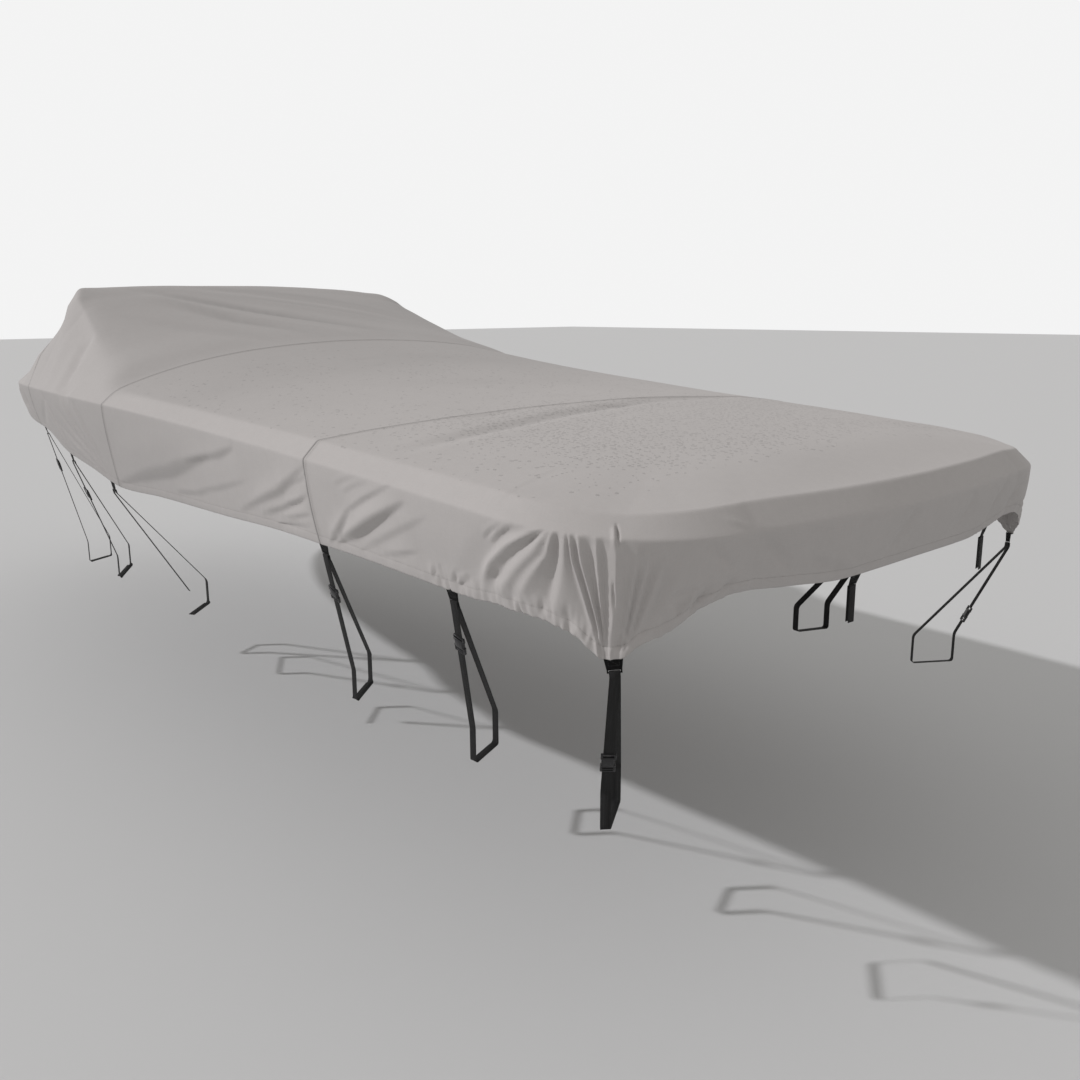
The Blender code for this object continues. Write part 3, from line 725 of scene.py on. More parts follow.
def ruffle(along, height, seed):
    """Sharp-crested noise, the small gathers of a hem drawn up by its cord."""
    large = noise.noise(Vector((along * LARGE_RUFFLE[0], height * LARGE_RUFFLE[1], seed)))
    fine = noise.noise(Vector((along * FINE_RUFFLE[0], height * FINE_RUFFLE[1], seed + 7.0)))
    return RUFFLE_BASE - RUFFLE_CREST * abs(large) + RUFFLE_GRAIN * fine


print("steps that reach the middle of the port skirt:", len(folds_near(STEP_FOLDS, 4.5)))


# %% [markdown]
# ## Columns of cloth
# The cover is woven out of columns that climb from the hem over the crease and the ridge to
# the centreline. A column works out once what all its points share. Its point(s) gives the
# place s metres up from the hem, rounded where the cloth bends over the boat's edges.

# %% Measures of the edges, the hem and the seams
CREASE_SOFT = 0.006
CREASE_TURN = (-0.02, 0.04)
RIDGE_TURN = (-0.03, 0.06)
BAND_EDGE = 0.004
TUCK_CURVE = 1.6
FLARE_CURVE = 0.6
RIDGE_SOFT = [
    # station, how far from the ridge its rounding reaches
    (2.30, 0.012),
    (2.78, 0.010),
    (3.02, 0.040),
    (3.30, 0.060),
    (3.50, 0.030),
    (3.64, 0.012),
    (4.10, 0.008),
    (5.60, 0.008),
    (6.10, 0.006),
]
CHANNEL = 0.027
CHANNEL_BULGE = 0.0006
CHANNEL_GROOVE = 0.0002
GROOVE_WIDTH = 0.0022
COLLAR_FLARE = 0.006
COLLAR_REACH = 0.080
WELT = 0.0125
WELT_RISE = 0.0011
WELT_EDGE = 0.002
GATHERED_BELOW = 0.11
GATHER_FADE = 0.032
HEM_WAVE_FADE = 0.03
HEM_WAVE = 21.0
CALM_AT_HEM = 0.05
WAVE_HEIGHT = 0.0024
WAVES_PER_METRE = (2.6, 2.6, 3.2)
RIPPLE_HEIGHT = 0.0007
RIPPLES_PER_METRE = (9.0, 9.0, 11.0)
RIPPLE_SEED = 4.0
FOLDS_PAST_RIDGE = 0.20

LEAN = [
    # station, share of the outward direction that a column follows along the boat
    (0.40, 1.0),
    (SPINE_START, 0.0),
    (SPINE_END, 0.0),
    (5.60, 1.0),
]

STERN_LENGTH = along_stern(1.0)
ridge_soft_at = curve(RIDGE_SOFT, 1)
lean_at = curve(LEAN, 1)
print("crease from the transom's middle to the corner's start:", round(STERN_LENGTH, 3), "m")

# %% [markdown]
# A fold moves the cloth straight out of its surface, so a column knows at each height which way
# it faces: outwards on the skirt, slantwise on the band and upwards on the deck.

# %% One column
DECK_TABLE = {}


def deck_folds_near(station):
    """The deck's folds that can reach a station, kept by the centimetre."""
    key = round(station, 2)
    if key not in DECK_TABLE:
        DECK_TABLE[key] = folds_near(DECK_FOLDS, key)
    return DECK_TABLE[key]


def slack_noise(place, per_metre, seed):
    """Noise that is stretched by its own number of waves to the metre along each axis."""
    x, y, z = (at * waves for at, waves in zip(place, per_metre))
    return noise.noise(Vector((x, y, z + seed)))


class Column:
    """One column of cloth on one side of the boat (side is -1 to port, 1 to starboard)."""

    def __init__(self, u, side):
        self.side = side
        self.station, self.across = outline(u)
        self.nx, self.ny = outward(u)
        self.height = crease_height(self.station)
        stern = along_stern(max(u, 1.0))
        self.from_strap = STRAP_TO_MIDDLE - stern - max(0.0, CORNER_START - self.station)
        on_side = u <= 1.0
        self.drop = hem_drop_at(self.station) if on_side else self.height - hem_height_at(stern)
        self.tuck = HEM_TUCK if on_side else tuck_at(stern)
        self.rise = rise_at(self.station) if on_side else stern_rise_at(stern)
        self.inset = inset_at(self.station)
        self.band = math.hypot(self.inset, self.rise)
        self.spine = min(max(self.station, SPINE_START), SPINE_END)
        self.lean = self.nx * lean_at(self.station)
        self.ridge = (
            self.station - self.lean * self.inset,
            max(0.0, self.across - self.ny * self.inset),
            self.height + self.rise,
        )
        self.fix = self.ridge[2] - section_top(self.ridge[0], self.ridge[1])
        reach = Vector((self.spine - self.ridge[0], self.ridge[1], centre_at(self.spine) - self.ridge[2]))
        self.ends = (self.drop, self.drop + self.band, self.drop + self.band + reach.length)
        self.along = self.station if on_side else CORNER_START + STERN_LENGTH - stern
        self.from_middle = side * stern
        self.steps = self.own(STEP_FOLDS, self.along)
        self.softs = self.own(SOFT_FOLDS, self.along)
        self.transoms = [] if on_side else self.own(TRANSOM_FOLDS, self.from_middle)
        self.softness = min(ridge_soft_at(self.station), 0.45 * self.band)

    def own(self, folds, place):
        """The folds of a table that reach this column, with their falls in metres."""
        return [in_metres(fold, self.drop, self.band) for fold in folds_near(folds, place)]

    def plain(self, s):
        """The place s metres up the column, with hard edges and no folds."""
        hem_top, band_top, top = self.ends
        if s <= hem_top:
            fall = 1.0 - s / hem_top
            shift = -self.tuck * fall**TUCK_CURVE
            x = self.station + self.lean * shift
            y = self.across + self.ny * shift
            z = self.height - self.drop * fall
        elif s <= band_top:
            t = (s - hem_top) / self.band
            x = self.station + (self.ridge[0] - self.station) * t
            y = self.across + (self.ridge[1] - self.across) * t
            z = self.height + self.rise * t
        else:
            share = min(1.0, (s - band_top) / (top - band_top))
            x = self.ridge[0] + (self.spine - self.ridge[0]) * share
            y = self.ridge[1] * (1.0 - share)
            z = section_top(x, y) + self.fix * (1.0 - share) ** 3
        return Vector((x, y, z))

    def rounded(self, s):
        hem_top, band_top, top = self.ends
        for edge, soft in ((hem_top, CREASE_SOFT), (band_top, self.softness)):
            if abs(s - edge) < soft:
                t = (s - edge + soft) / (2.0 * soft)
                start, middle, end = (self.plain(min(top, max(0.0, edge + soft * k))) for k in (-1, 0, 1))
                return start * (1.0 - t) ** 2 + middle * (2.0 * t * (1.0 - t)) + end * t * t
        return self.plain(s)

    def facing(self, s):
        """The direction that folds move the cloth in: out on the skirt, up on the deck."""
        hem_top, band_top, _ = self.ends
        band_lean = math.atan2(self.inset, max(self.rise, 0.01))
        lean = band_lean * fade_in(s - hem_top, *CREASE_TURN)
        lean += (math.pi / 2 - band_lean) * fade_in(s - band_top, *RIDGE_TURN)
        return Vector((self.nx * math.cos(lean), self.ny * math.cos(lean), math.sin(lean)))

    def fold_shift(self, s, point):
        """How far the folds lift the cloth."""
        hem_top, band_top, _ = self.ends
        total = 0.0
        if s < band_top + FOLDS_PAST_RIDGE:
            total += soft_shift(self.softs, self.along, hem_top - s)
        if s < band_top:
            total += step_shift(self.steps, self.along, hem_top - s)
            total += soft_shift(self.transoms, self.from_middle, hem_top - s)
            total += fan_relief(self.from_strap, (hem_top - s) / (self.drop if s < hem_top else self.band))
        if s > hem_top:
            weight = smooth_step((s - hem_top) / max(self.band, 0.03))
            total += weight * soft_shift(deck_folds_near(point.x), point.x, self.side * point.y)
        return total

    def hem_shift(self, s):
        """How far the gathers and the elastic in its channel lift the hem."""
        total = 0.0
        if s < GATHERED_BELOW:
            gather = math.exp(-((max(0.0, s - CHANNEL) / GATHER_FADE) ** 2))
            total += pucker_at(self.from_strap) * gather * ruffle(self.along, s, self.side * 3.0)
        if s < CHANNEL:
            total += CHANNEL_BULGE * math.sin(math.pi * min(1.0, max(0.0, s / CHANNEL)))
            flare = math.exp(-((self.from_strap / COLLAR_REACH) ** 2))
            total += COLLAR_FLARE * flare * (1.0 - s / CHANNEL) ** FLARE_CURVE
        return total - CHANNEL_GROOVE * math.exp(-(((s - CHANNEL) / GROOVE_WIDTH) ** 2))

    def welt_shift(self):
        """A seam's two layers are folded aft, so just behind it the cloth stands proud."""
        past = min((self.station - seam for seam in SEAMS if self.station > seam), default=1.0)
        return WELT_RISE * (1.0 - fade_in(past, WELT, WELT_EDGE)) if past < WELT + WELT_EDGE else 0.0

    def shift(self, s, point):
        """How far folds, gathers, the hem's channel and the seams' welts lift the cloth."""
        place = (point.x, self.side * point.y, point.z)
        wave = slack_noise(place, WAVES_PER_METRE, 0.0)
        ripple = slack_noise(place, RIPPLES_PER_METRE, RIPPLE_SEED)
        slack = smooth_step(s / CALM_AT_HEM) * (WAVE_HEIGHT * wave + RIPPLE_HEIGHT * ripple)
        return self.fold_shift(s, point) + self.hem_shift(s) + self.welt_shift() + slack

    def on_band(self, s):
        """1 on the band between the two creases, 0 off it."""
        hem_top, band_top, _ = self.ends
        fade = BAND_EDGE + 1.5 * self.softness
        return fade_in(s - hem_top, -BAND_EDGE, 2.0 * BAND_EDGE) * fade_in(band_top - s, -fade, 2.0 * fade)

    def point(self, s):
        """A point of the finished cloth, in the part's frame."""
        base = self.rounded(s)
        place = base + self.facing(s) * self.shift(s, base)
        if s < GATHERED_BELOW:
            wave = noise.noise(Vector((self.along * HEM_WAVE, self.side, 2.0)))
            place.z += 0.5 * pucker_at(self.from_strap) * wave * math.exp(-((s / HEM_WAVE_FADE) ** 2))
        return on_side_of_boat(place, self.side)


def on_side_of_boat(point, side):
    """A point of the port half set on its side of the boat, heeled, in the part's frame."""
    lowered = HEEL * (point.y / HALF_BEAM) ** 2 if side > 0 else 0.0
    return Vector((point.x, side * point.y, point.z - lowered)) - CARRIER


tallest = max((Column(u / 50, -1.0).ends[2], u / 50) for u in range(151))
print("longest column:", round(tallest[0], 3), "m at u", tallest[1])

# %% [markdown]
# ## Ties: where the straps hold the hem
# Five tabs along each side, one at each stern corner and two on the transom pull the hem to
# the hull. Their places come from the solid tabs. The hem next to a tab is drawn to its top
# edge, and the pull dies away within a hand's breadth.

# %% Tab places
TAB_WIDTH = 0.034
TAB_LENGTH = 0.034
TAB_ROOT = 0.055
PULL_ALONG = 0.030
PULL_UP = 0.045
PULLED_WHOLE = 0.65 * TAB_WIDTH

SIDE_TIES = [
    # name, station, outer rail station, inner rail station, buckle
    ("tie_1", 2.410, 2.300, 2.240, 0.150),
    ("tie_2", 2.910, 2.700, 2.500, 0.170),
    ("tie_3", 3.430, 3.500, 3.380, 0.000),
    ("tie_4", 4.970, 4.745, 4.640, 0.150),
    ("tie_5", 5.520, 5.350, 5.295, 0.135),
    ("corner_tie", None, 5.855, 5.770, 0.270),
]
STERN_TIES = [
    # name, side position
    ("stern_tie_1", -0.270),
    ("stern_tie_2", 0.480),
]


class TabPlace:
    """Where one tab is sewn: the middle of its top edge, its run, its down and its outward."""

    def __init__(self, name, u, side):
        low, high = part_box(name + "_tab")
        self.side = side
        hem = Column(u, side)
        foot = on_side_of_boat(hem.plain(0.0), side)
        above = on_side_of_boat(hem.plain(TAB_ROOT), side)
        ahead = on_side_of_boat(Column(u + 0.02, side).plain(0.0), side)
        self.run = (ahead - foot).normalized()
        down = foot - above
        self.down = (down - self.run * down.dot(self.run)).normalized()
        self.out = self.run.cross(self.down) * (-side)
        if self.out.dot(Vector((hem.nx, side * hem.ny, 0.0))) < 0.0:
            self.out = -self.out
        self.along = hem.along
        self.top = (low + high) / 2 - self.down * TAB_LENGTH / 2
        self.pull = self.top - foot


TABS = {}
for tie_side, prefix in ((-1.0, "port_"), (1.0, "starboard_")):
    for tie_label, tie_station, *_ in SIDE_TIES:
        at = tie_station / CORNER_START if tie_station else u_at_distance(STRAP_TO_MIDDLE)
        TABS[prefix + tie_label] = TabPlace(prefix + tie_label, at, tie_side)
for tie_label, tie_across in STERN_TIES:
    at = u_at_distance(abs(tie_across))
    TABS[tie_label] = TabPlace(tie_label, at, math.copysign(1.0, tie_across))
print("tabs:", len(TABS), "pull of the port corner tab:", TABS["port_corner_tie"].pull)


def drawn_to_tabs(column, s):
    """How the hem is drawn to the tabs next to it."""
    total = Vector((0.0, 0.0, 0.0))
    for tab in TABS.values():
        apart = abs(column.along - tab.along)
        if tab.side == column.side and apart < 3.0 * PULL_ALONG:
            near = math.exp(-((max(0.0, apart - PULLED_WHOLE) / PULL_ALONG) ** 2))
            total += tab.pull * near * math.exp(-((s / PULL_UP) ** 2))
    return total


# %% [markdown]
# ## The sheet
# All four panels come from one grid, so their folds run on across the seams. Columns stand
# closer where the folds are small, round the stern's corners. Rows are close at the hem, the
# crease and the ridge, and wider over the flat top.

# %% Columns and rows
PORT_STEPS = [
    # from, to (metres along from the bow's tip), step
    (0.00, 1.600, 0.034),
    (1.600, 2.308, 0.016),
    (2.308, 3.510, 0.011),
    (3.510, 4.500, 0.011),
    (4.500, 4.957, 0.0080),
    (4.957, 5.450, 0.0090),
    (5.450, 5.860, 0.0064),
    (5.860, 5.890, 0.0045),
    (5.890, 6.025, 0.0027),
    (6.025, 6.170, 0.0054),
    (6.170, 6.370, 0.0083),
    (6.370, CORNER_START + STERN_LENGTH, 0.0120),
]
HEM_ROWS = (0.0, 0.0025, 0.006, 0.011, 0.016, 0.021, 0.0245)
CHANNEL_ROWS = (0.026, 0.0272, 0.0285, 0.031, 0.036, 0.044, 0.055)
SKIRT_ROWS = 23
EDGE_ROWS = (-0.014, -0.007, -0.003, 0.0, 0.003, 0.007, 0.014)
BAND_ROWS = 7
RIDGE_ROWS = (-0.017, -0.010, -0.005, 0.0, 0.005, 0.010, 0.020)
NARROW_BAND = 0.055
DECK_ROWS = 26
EVEN_SHARE = 0.72
GAP = 0.0003
BEFORE_SEAM = 0.003
SEAM_STEPS = (0.0, 0.0012, 0.0035, 0.0075, 0.0115, 0.0135, 0.016)
SEAM_CLEAR = (-0.008, 0.020)


def u_at_along(along):
    if along <= CORNER_START:
        return along / CORNER_START
    return u_at_distance(CORNER_START + STERN_LENGTH - along)


def column_places():
    """u of every column of one side, with a close set of columns along each seam."""
    places = set()
    for start, end, step in PORT_STEPS:
        count = round((end - start) / step)
        places |= {round(start + (end - start) * k / count, 5) for k in range(count)}
    for seam in SEAMS:
        places = {p for p in places if not SEAM_CLEAR[0] < p - seam < SEAM_CLEAR[1]}
        places |= {seam - GAP / 2 - BEFORE_SEAM, seam - GAP / 2}
        places |= {seam + GAP / 2 + step for step in SEAM_STEPS}
    return [u_at_along(p) for p in sorted(places)] + [3.0]


def row_places(column):
    """s of every row of one column."""
    hem_top, band_top, top = column.ends
    tight = min(1.0, column.band / NARROW_BAND)
    rows = [*HEM_ROWS, *CHANNEL_ROWS]
    skirt_end = hem_top + EDGE_ROWS[0] * tight
    rows += [rows[-1] + (skirt_end - rows[-1]) * k / SKIRT_ROWS for k in range(1, SKIRT_ROWS)]
    rows += [hem_top + step * tight for step in EDGE_ROWS]
    band_start, band_end = rows[-1], band_top + RIDGE_ROWS[0] * tight
    rows += [band_start + (band_end - band_start) * k / BAND_ROWS for k in range(1, BAND_ROWS)]
    rows += [band_top + step * tight for step in RIDGE_ROWS]
    deck_start = rows[-1]
    for k in range(1, DECK_ROWS + 1):
        share = k / DECK_ROWS
        widening = EVEN_SHARE * share + (1.0 - EVEN_SHARE) * share * share
        rows.append(deck_start + (top - deck_start) * widening)
    return rows


print("columns of one side:", len(column_places()), "rows:", len(row_places(Column(1.0, -1.0))))

# %% [markdown]
# Every point of the cloth also carries marks for its material: how near it is to a seam or to
# the hem's stitch line, where shade is painted, how much painted shade the deck's folds give it,
# how much darker it is made towards the bow, and where it lies on the skirt or the flat top. They
# are stored as attributes of the points, and the flat place of each point as a UV map in metres,
# so that the weave keeps its real size on every panel.


# %% The woven grid
# Widths of the painted shade along the seams and along the hem's stitch line.
SEAM_SHADE = 0.0050
HEM_SHADE = 0.0016
# How much less of the darkening towards the bow the band between the creases gets.
LESS_BOW_DARKENING_ON_BAND = 0.6
FOLD_SHADE_FROM = (0.02, 0.15)
FLAT_FROM = -0.001
MARKS = ("seam", "hem", "painted_fold_shade", "bow_darkening", "rise", "along", "flat")


def marks_of(column, s, place):
    """The marks of one point, in the order of MARKS."""
    apart = min(abs(column.station - seam) for seam in SEAMS)
    past_ridge = s - column.ends[1]
    # Painted shade along the deck's folds, above the ridge only.
    painted_fold_shade = 0.0
    if past_ridge > 0.0:
        painted_fold_shade = fade_in(past_ridge, *FOLD_SHADE_FROM) * soft_shift(PAINTED_FOLD_SHADE, place.x + CARRIER.x, place.y)
    return (
        # The first two marks say where shade is painted along the seams and the hem's stitch line.
        max(0.0, 1.0 - apart / SEAM_SHADE),
        math.exp(-(((s - CHANNEL) / HEM_SHADE) ** 2)),
        painted_fold_shade,
        bow_darkening_at(column.station) * (1.0 - LESS_BOW_DARKENING_ON_BAND * column.on_band(s)),
        s,
        column.along,
        1.0 if past_ridge > FLAT_FROM else 0.0,
    )


def lay_flat(cloth, stores):
    """UVs in metres: from above on the flat top, and along the crease and up on the skirt."""
    flat_map = cloth.loops.layers.uv.new("flat_metres")
    for face in cloth.faces:
        is_top = min(vertex[stores["flat"]] for vertex in face.verts) > 0.5
        for loop in face.loops:
            place = loop.vert
            if is_top:
                loop[flat_map].uv = (place.co.x, place.co.y)
            else:
                loop[flat_map].uv = (place[stores["along"]], place[stores["rise"]])


def weave_cloth():
    """The whole cover as one open grid, with its marks and its UVs in metres."""
    places = column_places()
    columns = [Column(u, -1.0) for u in places] + [Column(u, 1.0) for u in reversed(places)]
    heights = [row_places(column) for column in columns]
    across = len(columns)
    cloth = bmesh.new()
    bmesh.ops.create_grid(cloth, x_segments=across - 1, y_segments=len(heights[0]) - 1, size=1.0)
    cloth.verts.ensure_lookup_table()
    stores = {mark: cloth.verts.layers.float.new(mark) for mark in MARKS}
    for index, vertex in enumerate(cloth.verts):
        column = columns[index % across]
        s = heights[index % across][index // across]
        vertex.co = column.point(s) + drawn_to_tabs(column, s)
        for mark, value in zip(MARKS, marks_of(column, s, vertex.co)):
            vertex[stores[mark]] = value
    lay_flat(cloth, stores)
    bmesh.ops.remove_doubles(cloth, verts=cloth.verts, dist=0.00004)
    cloth.normal_update()
    if sum(face.normal.z for face in cloth.faces) < 0.0:
        bmesh.ops.reverse_faces(cloth, faces=cloth.faces)
    return cloth


whole_cloth = weave_cloth()
print("woven:", len(whole_cloth.verts), "points,", len(whole_cloth.faces), "faces")

# %% [markdown]
# The grid is parted at the three seams. Each panel is a thin closed sheet, 1.5 mm thick, with
# its thickness laid inwards from the outer face.

# %% Panels
CLOTH_THICKNESS = 0.0015
PANELS = ("bow_panel", "fore_panel", "mid_panel", "stern_panel")


def part_panel(cloth, name, start, end):
    """The faces between two stations, without the thin rows that lie in the seams' gaps."""
    panel = cloth.copy()
    spare = []
    for face in panel.faces:
        station = face.calc_center_median().x + CARRIER.x
        in_gap = any(abs(station - seam) < GAP / 2 for seam in SEAMS)
        if in_gap or not start < station < end:
            spare.append(face)
    bmesh.ops.delete(panel, geom=spare, context="FACES")
    thing = as_object(name + "_cloth", panel)
    shell = thing.modifiers.new("thickness", "SOLIDIFY")
    shell.thickness = CLOTH_THICKNESS
    shell.offset = -1.0
    return thing


cuts = (-1.0, *SEAMS, LENGTH + 1.0)
panels = {}
for panel_name, cut_fore, cut_aft in zip(PANELS, cuts, cuts[1:]):
    panels[panel_name] = part_panel(whole_cloth, panel_name, cut_fore, cut_aft)
    area = sum(face.area for face in panels[panel_name].data.polygons)
    print(panel_name, len(panels[panel_name].data.polygons), "faces", round(area, 3), "m2")
whole_cloth.free()

# %% [markdown]
# ## The cloth's look
# Coated polyester, solution dyed mid grey: a fine plain weave, faint slubs along the yarns,
# and soft weathering. The fore half is made darker, all but its taut band. Where water has
# dried on the top it leaves short dark marks. Shade is painted along the seams, the hem's stitch
# line and the deck's folds. Weave, weather and rain are node groups that each give a shade round
# 1, so the material only has to multiply them. A few helpers keep the node trees short to write.

# %% Helpers for node trees
def node_group(name, inputs, outputs):
    group = bpy.data.node_groups.new(name, "ShaderNodeTree")
    for label, kind in inputs:
        group.interface.new_socket(label, in_out="INPUT", socket_type=kind)
    for label in outputs:
        group.interface.new_socket(label, in_out="OUTPUT", socket_type="NodeSocketFloat")
    return group, group.nodes.new("NodeGroupInput"), group.nodes.new("NodeGroupOutput")


def math_node(tree, operation, first, second=None, clamp=False):
    node = tree.nodes.new("ShaderNodeMath")
    node.operation = operation
    node.use_clamp = clamp
    for socket, value in zip(node.inputs, (first, second)):
        if isinstance(value, (int, float)):
            socket.default_value = value
        elif value is not None:
            tree.links.new(value, socket)
    return node.outputs[0]


def plus(tree, first, second):
    return math_node(tree, "ADD", first, second)


def minus(tree, first, second, clamp=False):
    return math_node(tree, "SUBTRACT", first, second, clamp)


def times(tree, first, second, clamp=False):
    return math_node(tree, "MULTIPLY", first, second, clamp)


def scaled(tree, vector, scale):
    node = tree.nodes.new("ShaderNodeMapping")
    node.inputs["Scale"].default_value = scale
    tree.links.new(vector, node.inputs["Vector"])
    return node.outputs[0]


def axes_of(tree, vector):
    """The X, Y and Z of a vector, as three outputs."""
    node = tree.nodes.new("ShaderNodeSeparateXYZ")
    tree.links.new(vector, node.inputs[0])
    return node.outputs


def vector_node(tree, operation, first, second):
    """A vector times a number (SCALE), or two vectors added (ADD)."""
    node = tree.nodes.new("ShaderNodeVectorMath")
    node.operation = operation
    second_socket = node.inputs["Scale" if operation == "SCALE" else 1]
    for socket, value in ((node.inputs[0], first), (second_socket, second)):
        if isinstance(value, (float, tuple)):
            socket.default_value = value
        else:
            tree.links.new(value, socket)
    return node.outputs[0]


def noise_node(tree, vector, scale, detail=3.0, roughness=0.5, output="Fac"):
    node = tree.nodes.new("ShaderNodeTexNoise")
    node.inputs["Scale"].default_value = scale
    node.inputs["Detail"].default_value = detail
    node.inputs["Roughness"].default_value = roughness
    tree.links.new(vector, node.inputs["Vector"])
    return node.outputs[output]


def bump_node(tree, height, distance, strength=1.0, normal=None):
    node = tree.nodes.new("ShaderNodeBump")
    node.inputs["Distance"].default_value = distance
    node.inputs["Strength"].default_value = strength
    tree.links.new(height, node.inputs["Height"])
    if normal is not None:
        tree.links.new(normal, node.inputs["Normal"])
    return node.outputs[0]


print("helpers ready for Blender", bpy.app.version_string)

# %% [markdown]
# A plain weave is a product of two sine waves, one along each yarn. Real yarns also swell here
# and there: two long stretched noises give those slubs.

# %% Weave
YARN_PITCH = 0.0007
SLUB_LONG = 26.0
SLUB_ACROSS = 900.0
SLUB_HEIGHT = 1.4
SLUB_SHADE = 0.10


def make_weave_group():
    """Plain weave with slubs; gives a height and a shade round 1."""
    group, given, result = node_group("plain_weave", [("Flat", "NodeSocketVector")], ("Height", "Shade"))
    flat = given.outputs["Flat"]
    axes = axes_of(group, flat)
    turns = 2.0 * math.pi / YARN_PITCH
    warp, weft = (math_node(group, "SINE", times(group, axes[k], turns)) for k in (0, 1))
    height = times(group, warp, weft)
    slub_up = noise_node(group, scaled(group, flat, (SLUB_ACROSS, SLUB_LONG, 1.0)), 1.0, 2.0)
    slub_along = noise_node(group, scaled(group, flat, (SLUB_LONG, SLUB_ACROSS, 1.0)), 1.0, 2.0)
    slubs = plus(group, slub_up, slub_along)
    total = plus(group, times(group, height, 0.5), times(group, slubs, SLUB_HEIGHT))
    group.links.new(total, result.inputs["Height"])
    shade = plus(group, times(group, slubs, SLUB_SHADE), 1.0 - SLUB_SHADE)
    group.links.new(shade, result.inputs["Shade"])
    return group


weave_group = make_weave_group()
print("weave:", len(weave_group.nodes), "nodes")

# %% [markdown]
# Weather shows at three sizes: broad clouds where the dye has faded, a mottle as wide as a
# finger, and a fine grain of dust in the coating.

# %% Weathering
WEATHER = [
    # noise scale, detail, roughness, share of the shade
    (2.3, 4.0, 0.55, 0.10),
    (34.0, 5.0, 0.65, 0.07),
    (420.0, 2.0, 0.6, 0.10),
]
WEATHER_BASE = 0.865


def make_weather_group():
    """Soft clouding of the dye and fine dust, as a shade round 1."""
    group, given, result = node_group("weathering", [("Place", "NodeSocketVector")], ("Shade",))
    shade = WEATHER_BASE
    for scale, detail, roughness, share in WEATHER:
        layer = noise_node(group, given.outputs["Place"], scale, detail, roughness)
        shade = plus(group, times(group, layer, share), shade)
    group.links.new(shade, result.inputs["Shade"])
    return group


weather_group = make_weather_group()
print("weathering:", len(weather_group.nodes), "nodes")

# %% [markdown]
# Dried drops are the cells of a Voronoi texture whose places are bent a little by noise, so no
# two are alike. A cell is kept by chance: the chance is high over the aft deck, thin ahead of
# it, and none near the edges.

# %% Rain marks
SPOTS_PER_METRE = 64.0
SPOT_BEND = 0.012
SPOT_BEND_SCALE = 90.0
SPOT_SIZE = (0.14, 0.28)
SPOT_EDGE = 10.0
SPOT_DARKNESS = 0.19
# Where each ramp starts, and how steeply it climbs (- where it falls).
THICK_FROM = (2.45, 5.0)
THICK_TO = (3.52, -4.0)
THIN_FROM = (1.15, 4.0)
PORT_LIMIT = (-0.92, 3.0)
THICK_SHARE, THIN_SHARE = 1.10, 0.14
PATCH_SCALE, PATCH_CONTRAST, PATCH_BASE = 2.6, 2.2, 0.35


def ramp(tree, value, start, slope):
    """Rises from 0 at a place to 1, or falls to 0 where the slope is negative."""
    distance = minus(tree, value, start) if slope > 0.0 else minus(tree, start, value)
    return times(tree, distance, abs(slope), clamp=True)


def rain_share(group, place):
    """The share of the cells that hold a mark."""
    axes = axes_of(group, place)
    aft_end = ramp(group, axes[0], *THICK_TO)
    thick = times(group, ramp(group, axes[0], *THICK_FROM), aft_end)
    thick = times(group, thick, ramp(group, axes[1], *PORT_LIMIT))
    thin = times(group, ramp(group, axes[0], *THIN_FROM), aft_end)
    both = plus(group, times(group, thick, THICK_SHARE), times(group, thin, THIN_SHARE))
    patches = times(group, noise_node(group, place, PATCH_SCALE), PATCH_CONTRAST)
    return times(group, both, minus(group, patches, PATCH_BASE, clamp=True))


def make_rain_group():
    """Spots where drops have dried on the top, thickest over the port quarter of the deck."""
    sockets = [("Place", "NodeSocketVector"), ("Up", "NodeSocketFloat")]
    group, given, result = node_group("rain_marks", sockets, ("Shade", "Height"))
    place = given.outputs["Place"]
    wobble = noise_node(group, place, SPOT_BEND_SCALE, 2.0, output="Color")
    bent = vector_node(group, "ADD", place, vector_node(group, "SCALE", wobble, SPOT_BEND))
    cells = group.nodes.new("ShaderNodeTexVoronoi")
    cells.voronoi_dimensions = "2D"
    cells.inputs["Scale"].default_value = SPOTS_PER_METRE
    group.links.new(bent, cells.inputs["Vector"])
    chance = group.nodes.new("ShaderNodeSeparateColor")
    group.links.new(cells.outputs["Color"], chance.inputs[0])
    size = plus(group, times(group, chance.outputs[1], SPOT_SIZE[1]), SPOT_SIZE[0])
    spot = times(group, minus(group, size, cells.outputs["Distance"]), SPOT_EDGE, clamp=True)
    kept = math_node(group, "LESS_THAN", chance.outputs[0], rain_share(group, place))
    marks = times(group, times(group, spot, kept), given.outputs["Up"])
    group.links.new(minus(group, 1.0, times(group, marks, SPOT_DARKNESS)), result.inputs["Shade"])
    group.links.new(marks, result.inputs["Height"])
    return group


rain_group = make_rain_group()
print("rain marks:", len(rain_group.nodes), "nodes")

# %% [markdown]
# The cloth's grey is multiplied by every shade in turn. The weave also lifts the surface by a
# tenth of a millimetre, and the dried marks stand a little over it.

# %% Cloth material
CLOTH_GREY = (0.430, 0.411, 0.402)
CLOTH_ROUGHNESS = 0.78
CLOTH_GLOSS = 0.30
CLOTH_SHEEN = (0.12, 0.6)
# How dark the painted shade along the seams and the hem's stitch line is.
SEAM_PAINTED_SHADE = 0.85
HEM_PAINTED_SHADE = 0.03
WEAVE_DEPTH = 0.00010
WEAVE_STRENGTH = 0.6
MARK_DEPTH = 0.0007


def group_node(tree, group, **links):
    node = tree.nodes.new("ShaderNodeGroup")
    node.node_tree = group
    for label, source in links.items():
        tree.links.new(source, node.inputs[label])
    return node.outputs


def attribute(tree, name):
    node = tree.nodes.new("ShaderNodeAttribute")
    node.attribute_name = name
    return node.outputs["Fac"]


def uv_in_metres(tree):
    node = tree.nodes.new("ShaderNodeUVMap")
    node.uv_map = "flat_metres"
    return node.outputs[0]


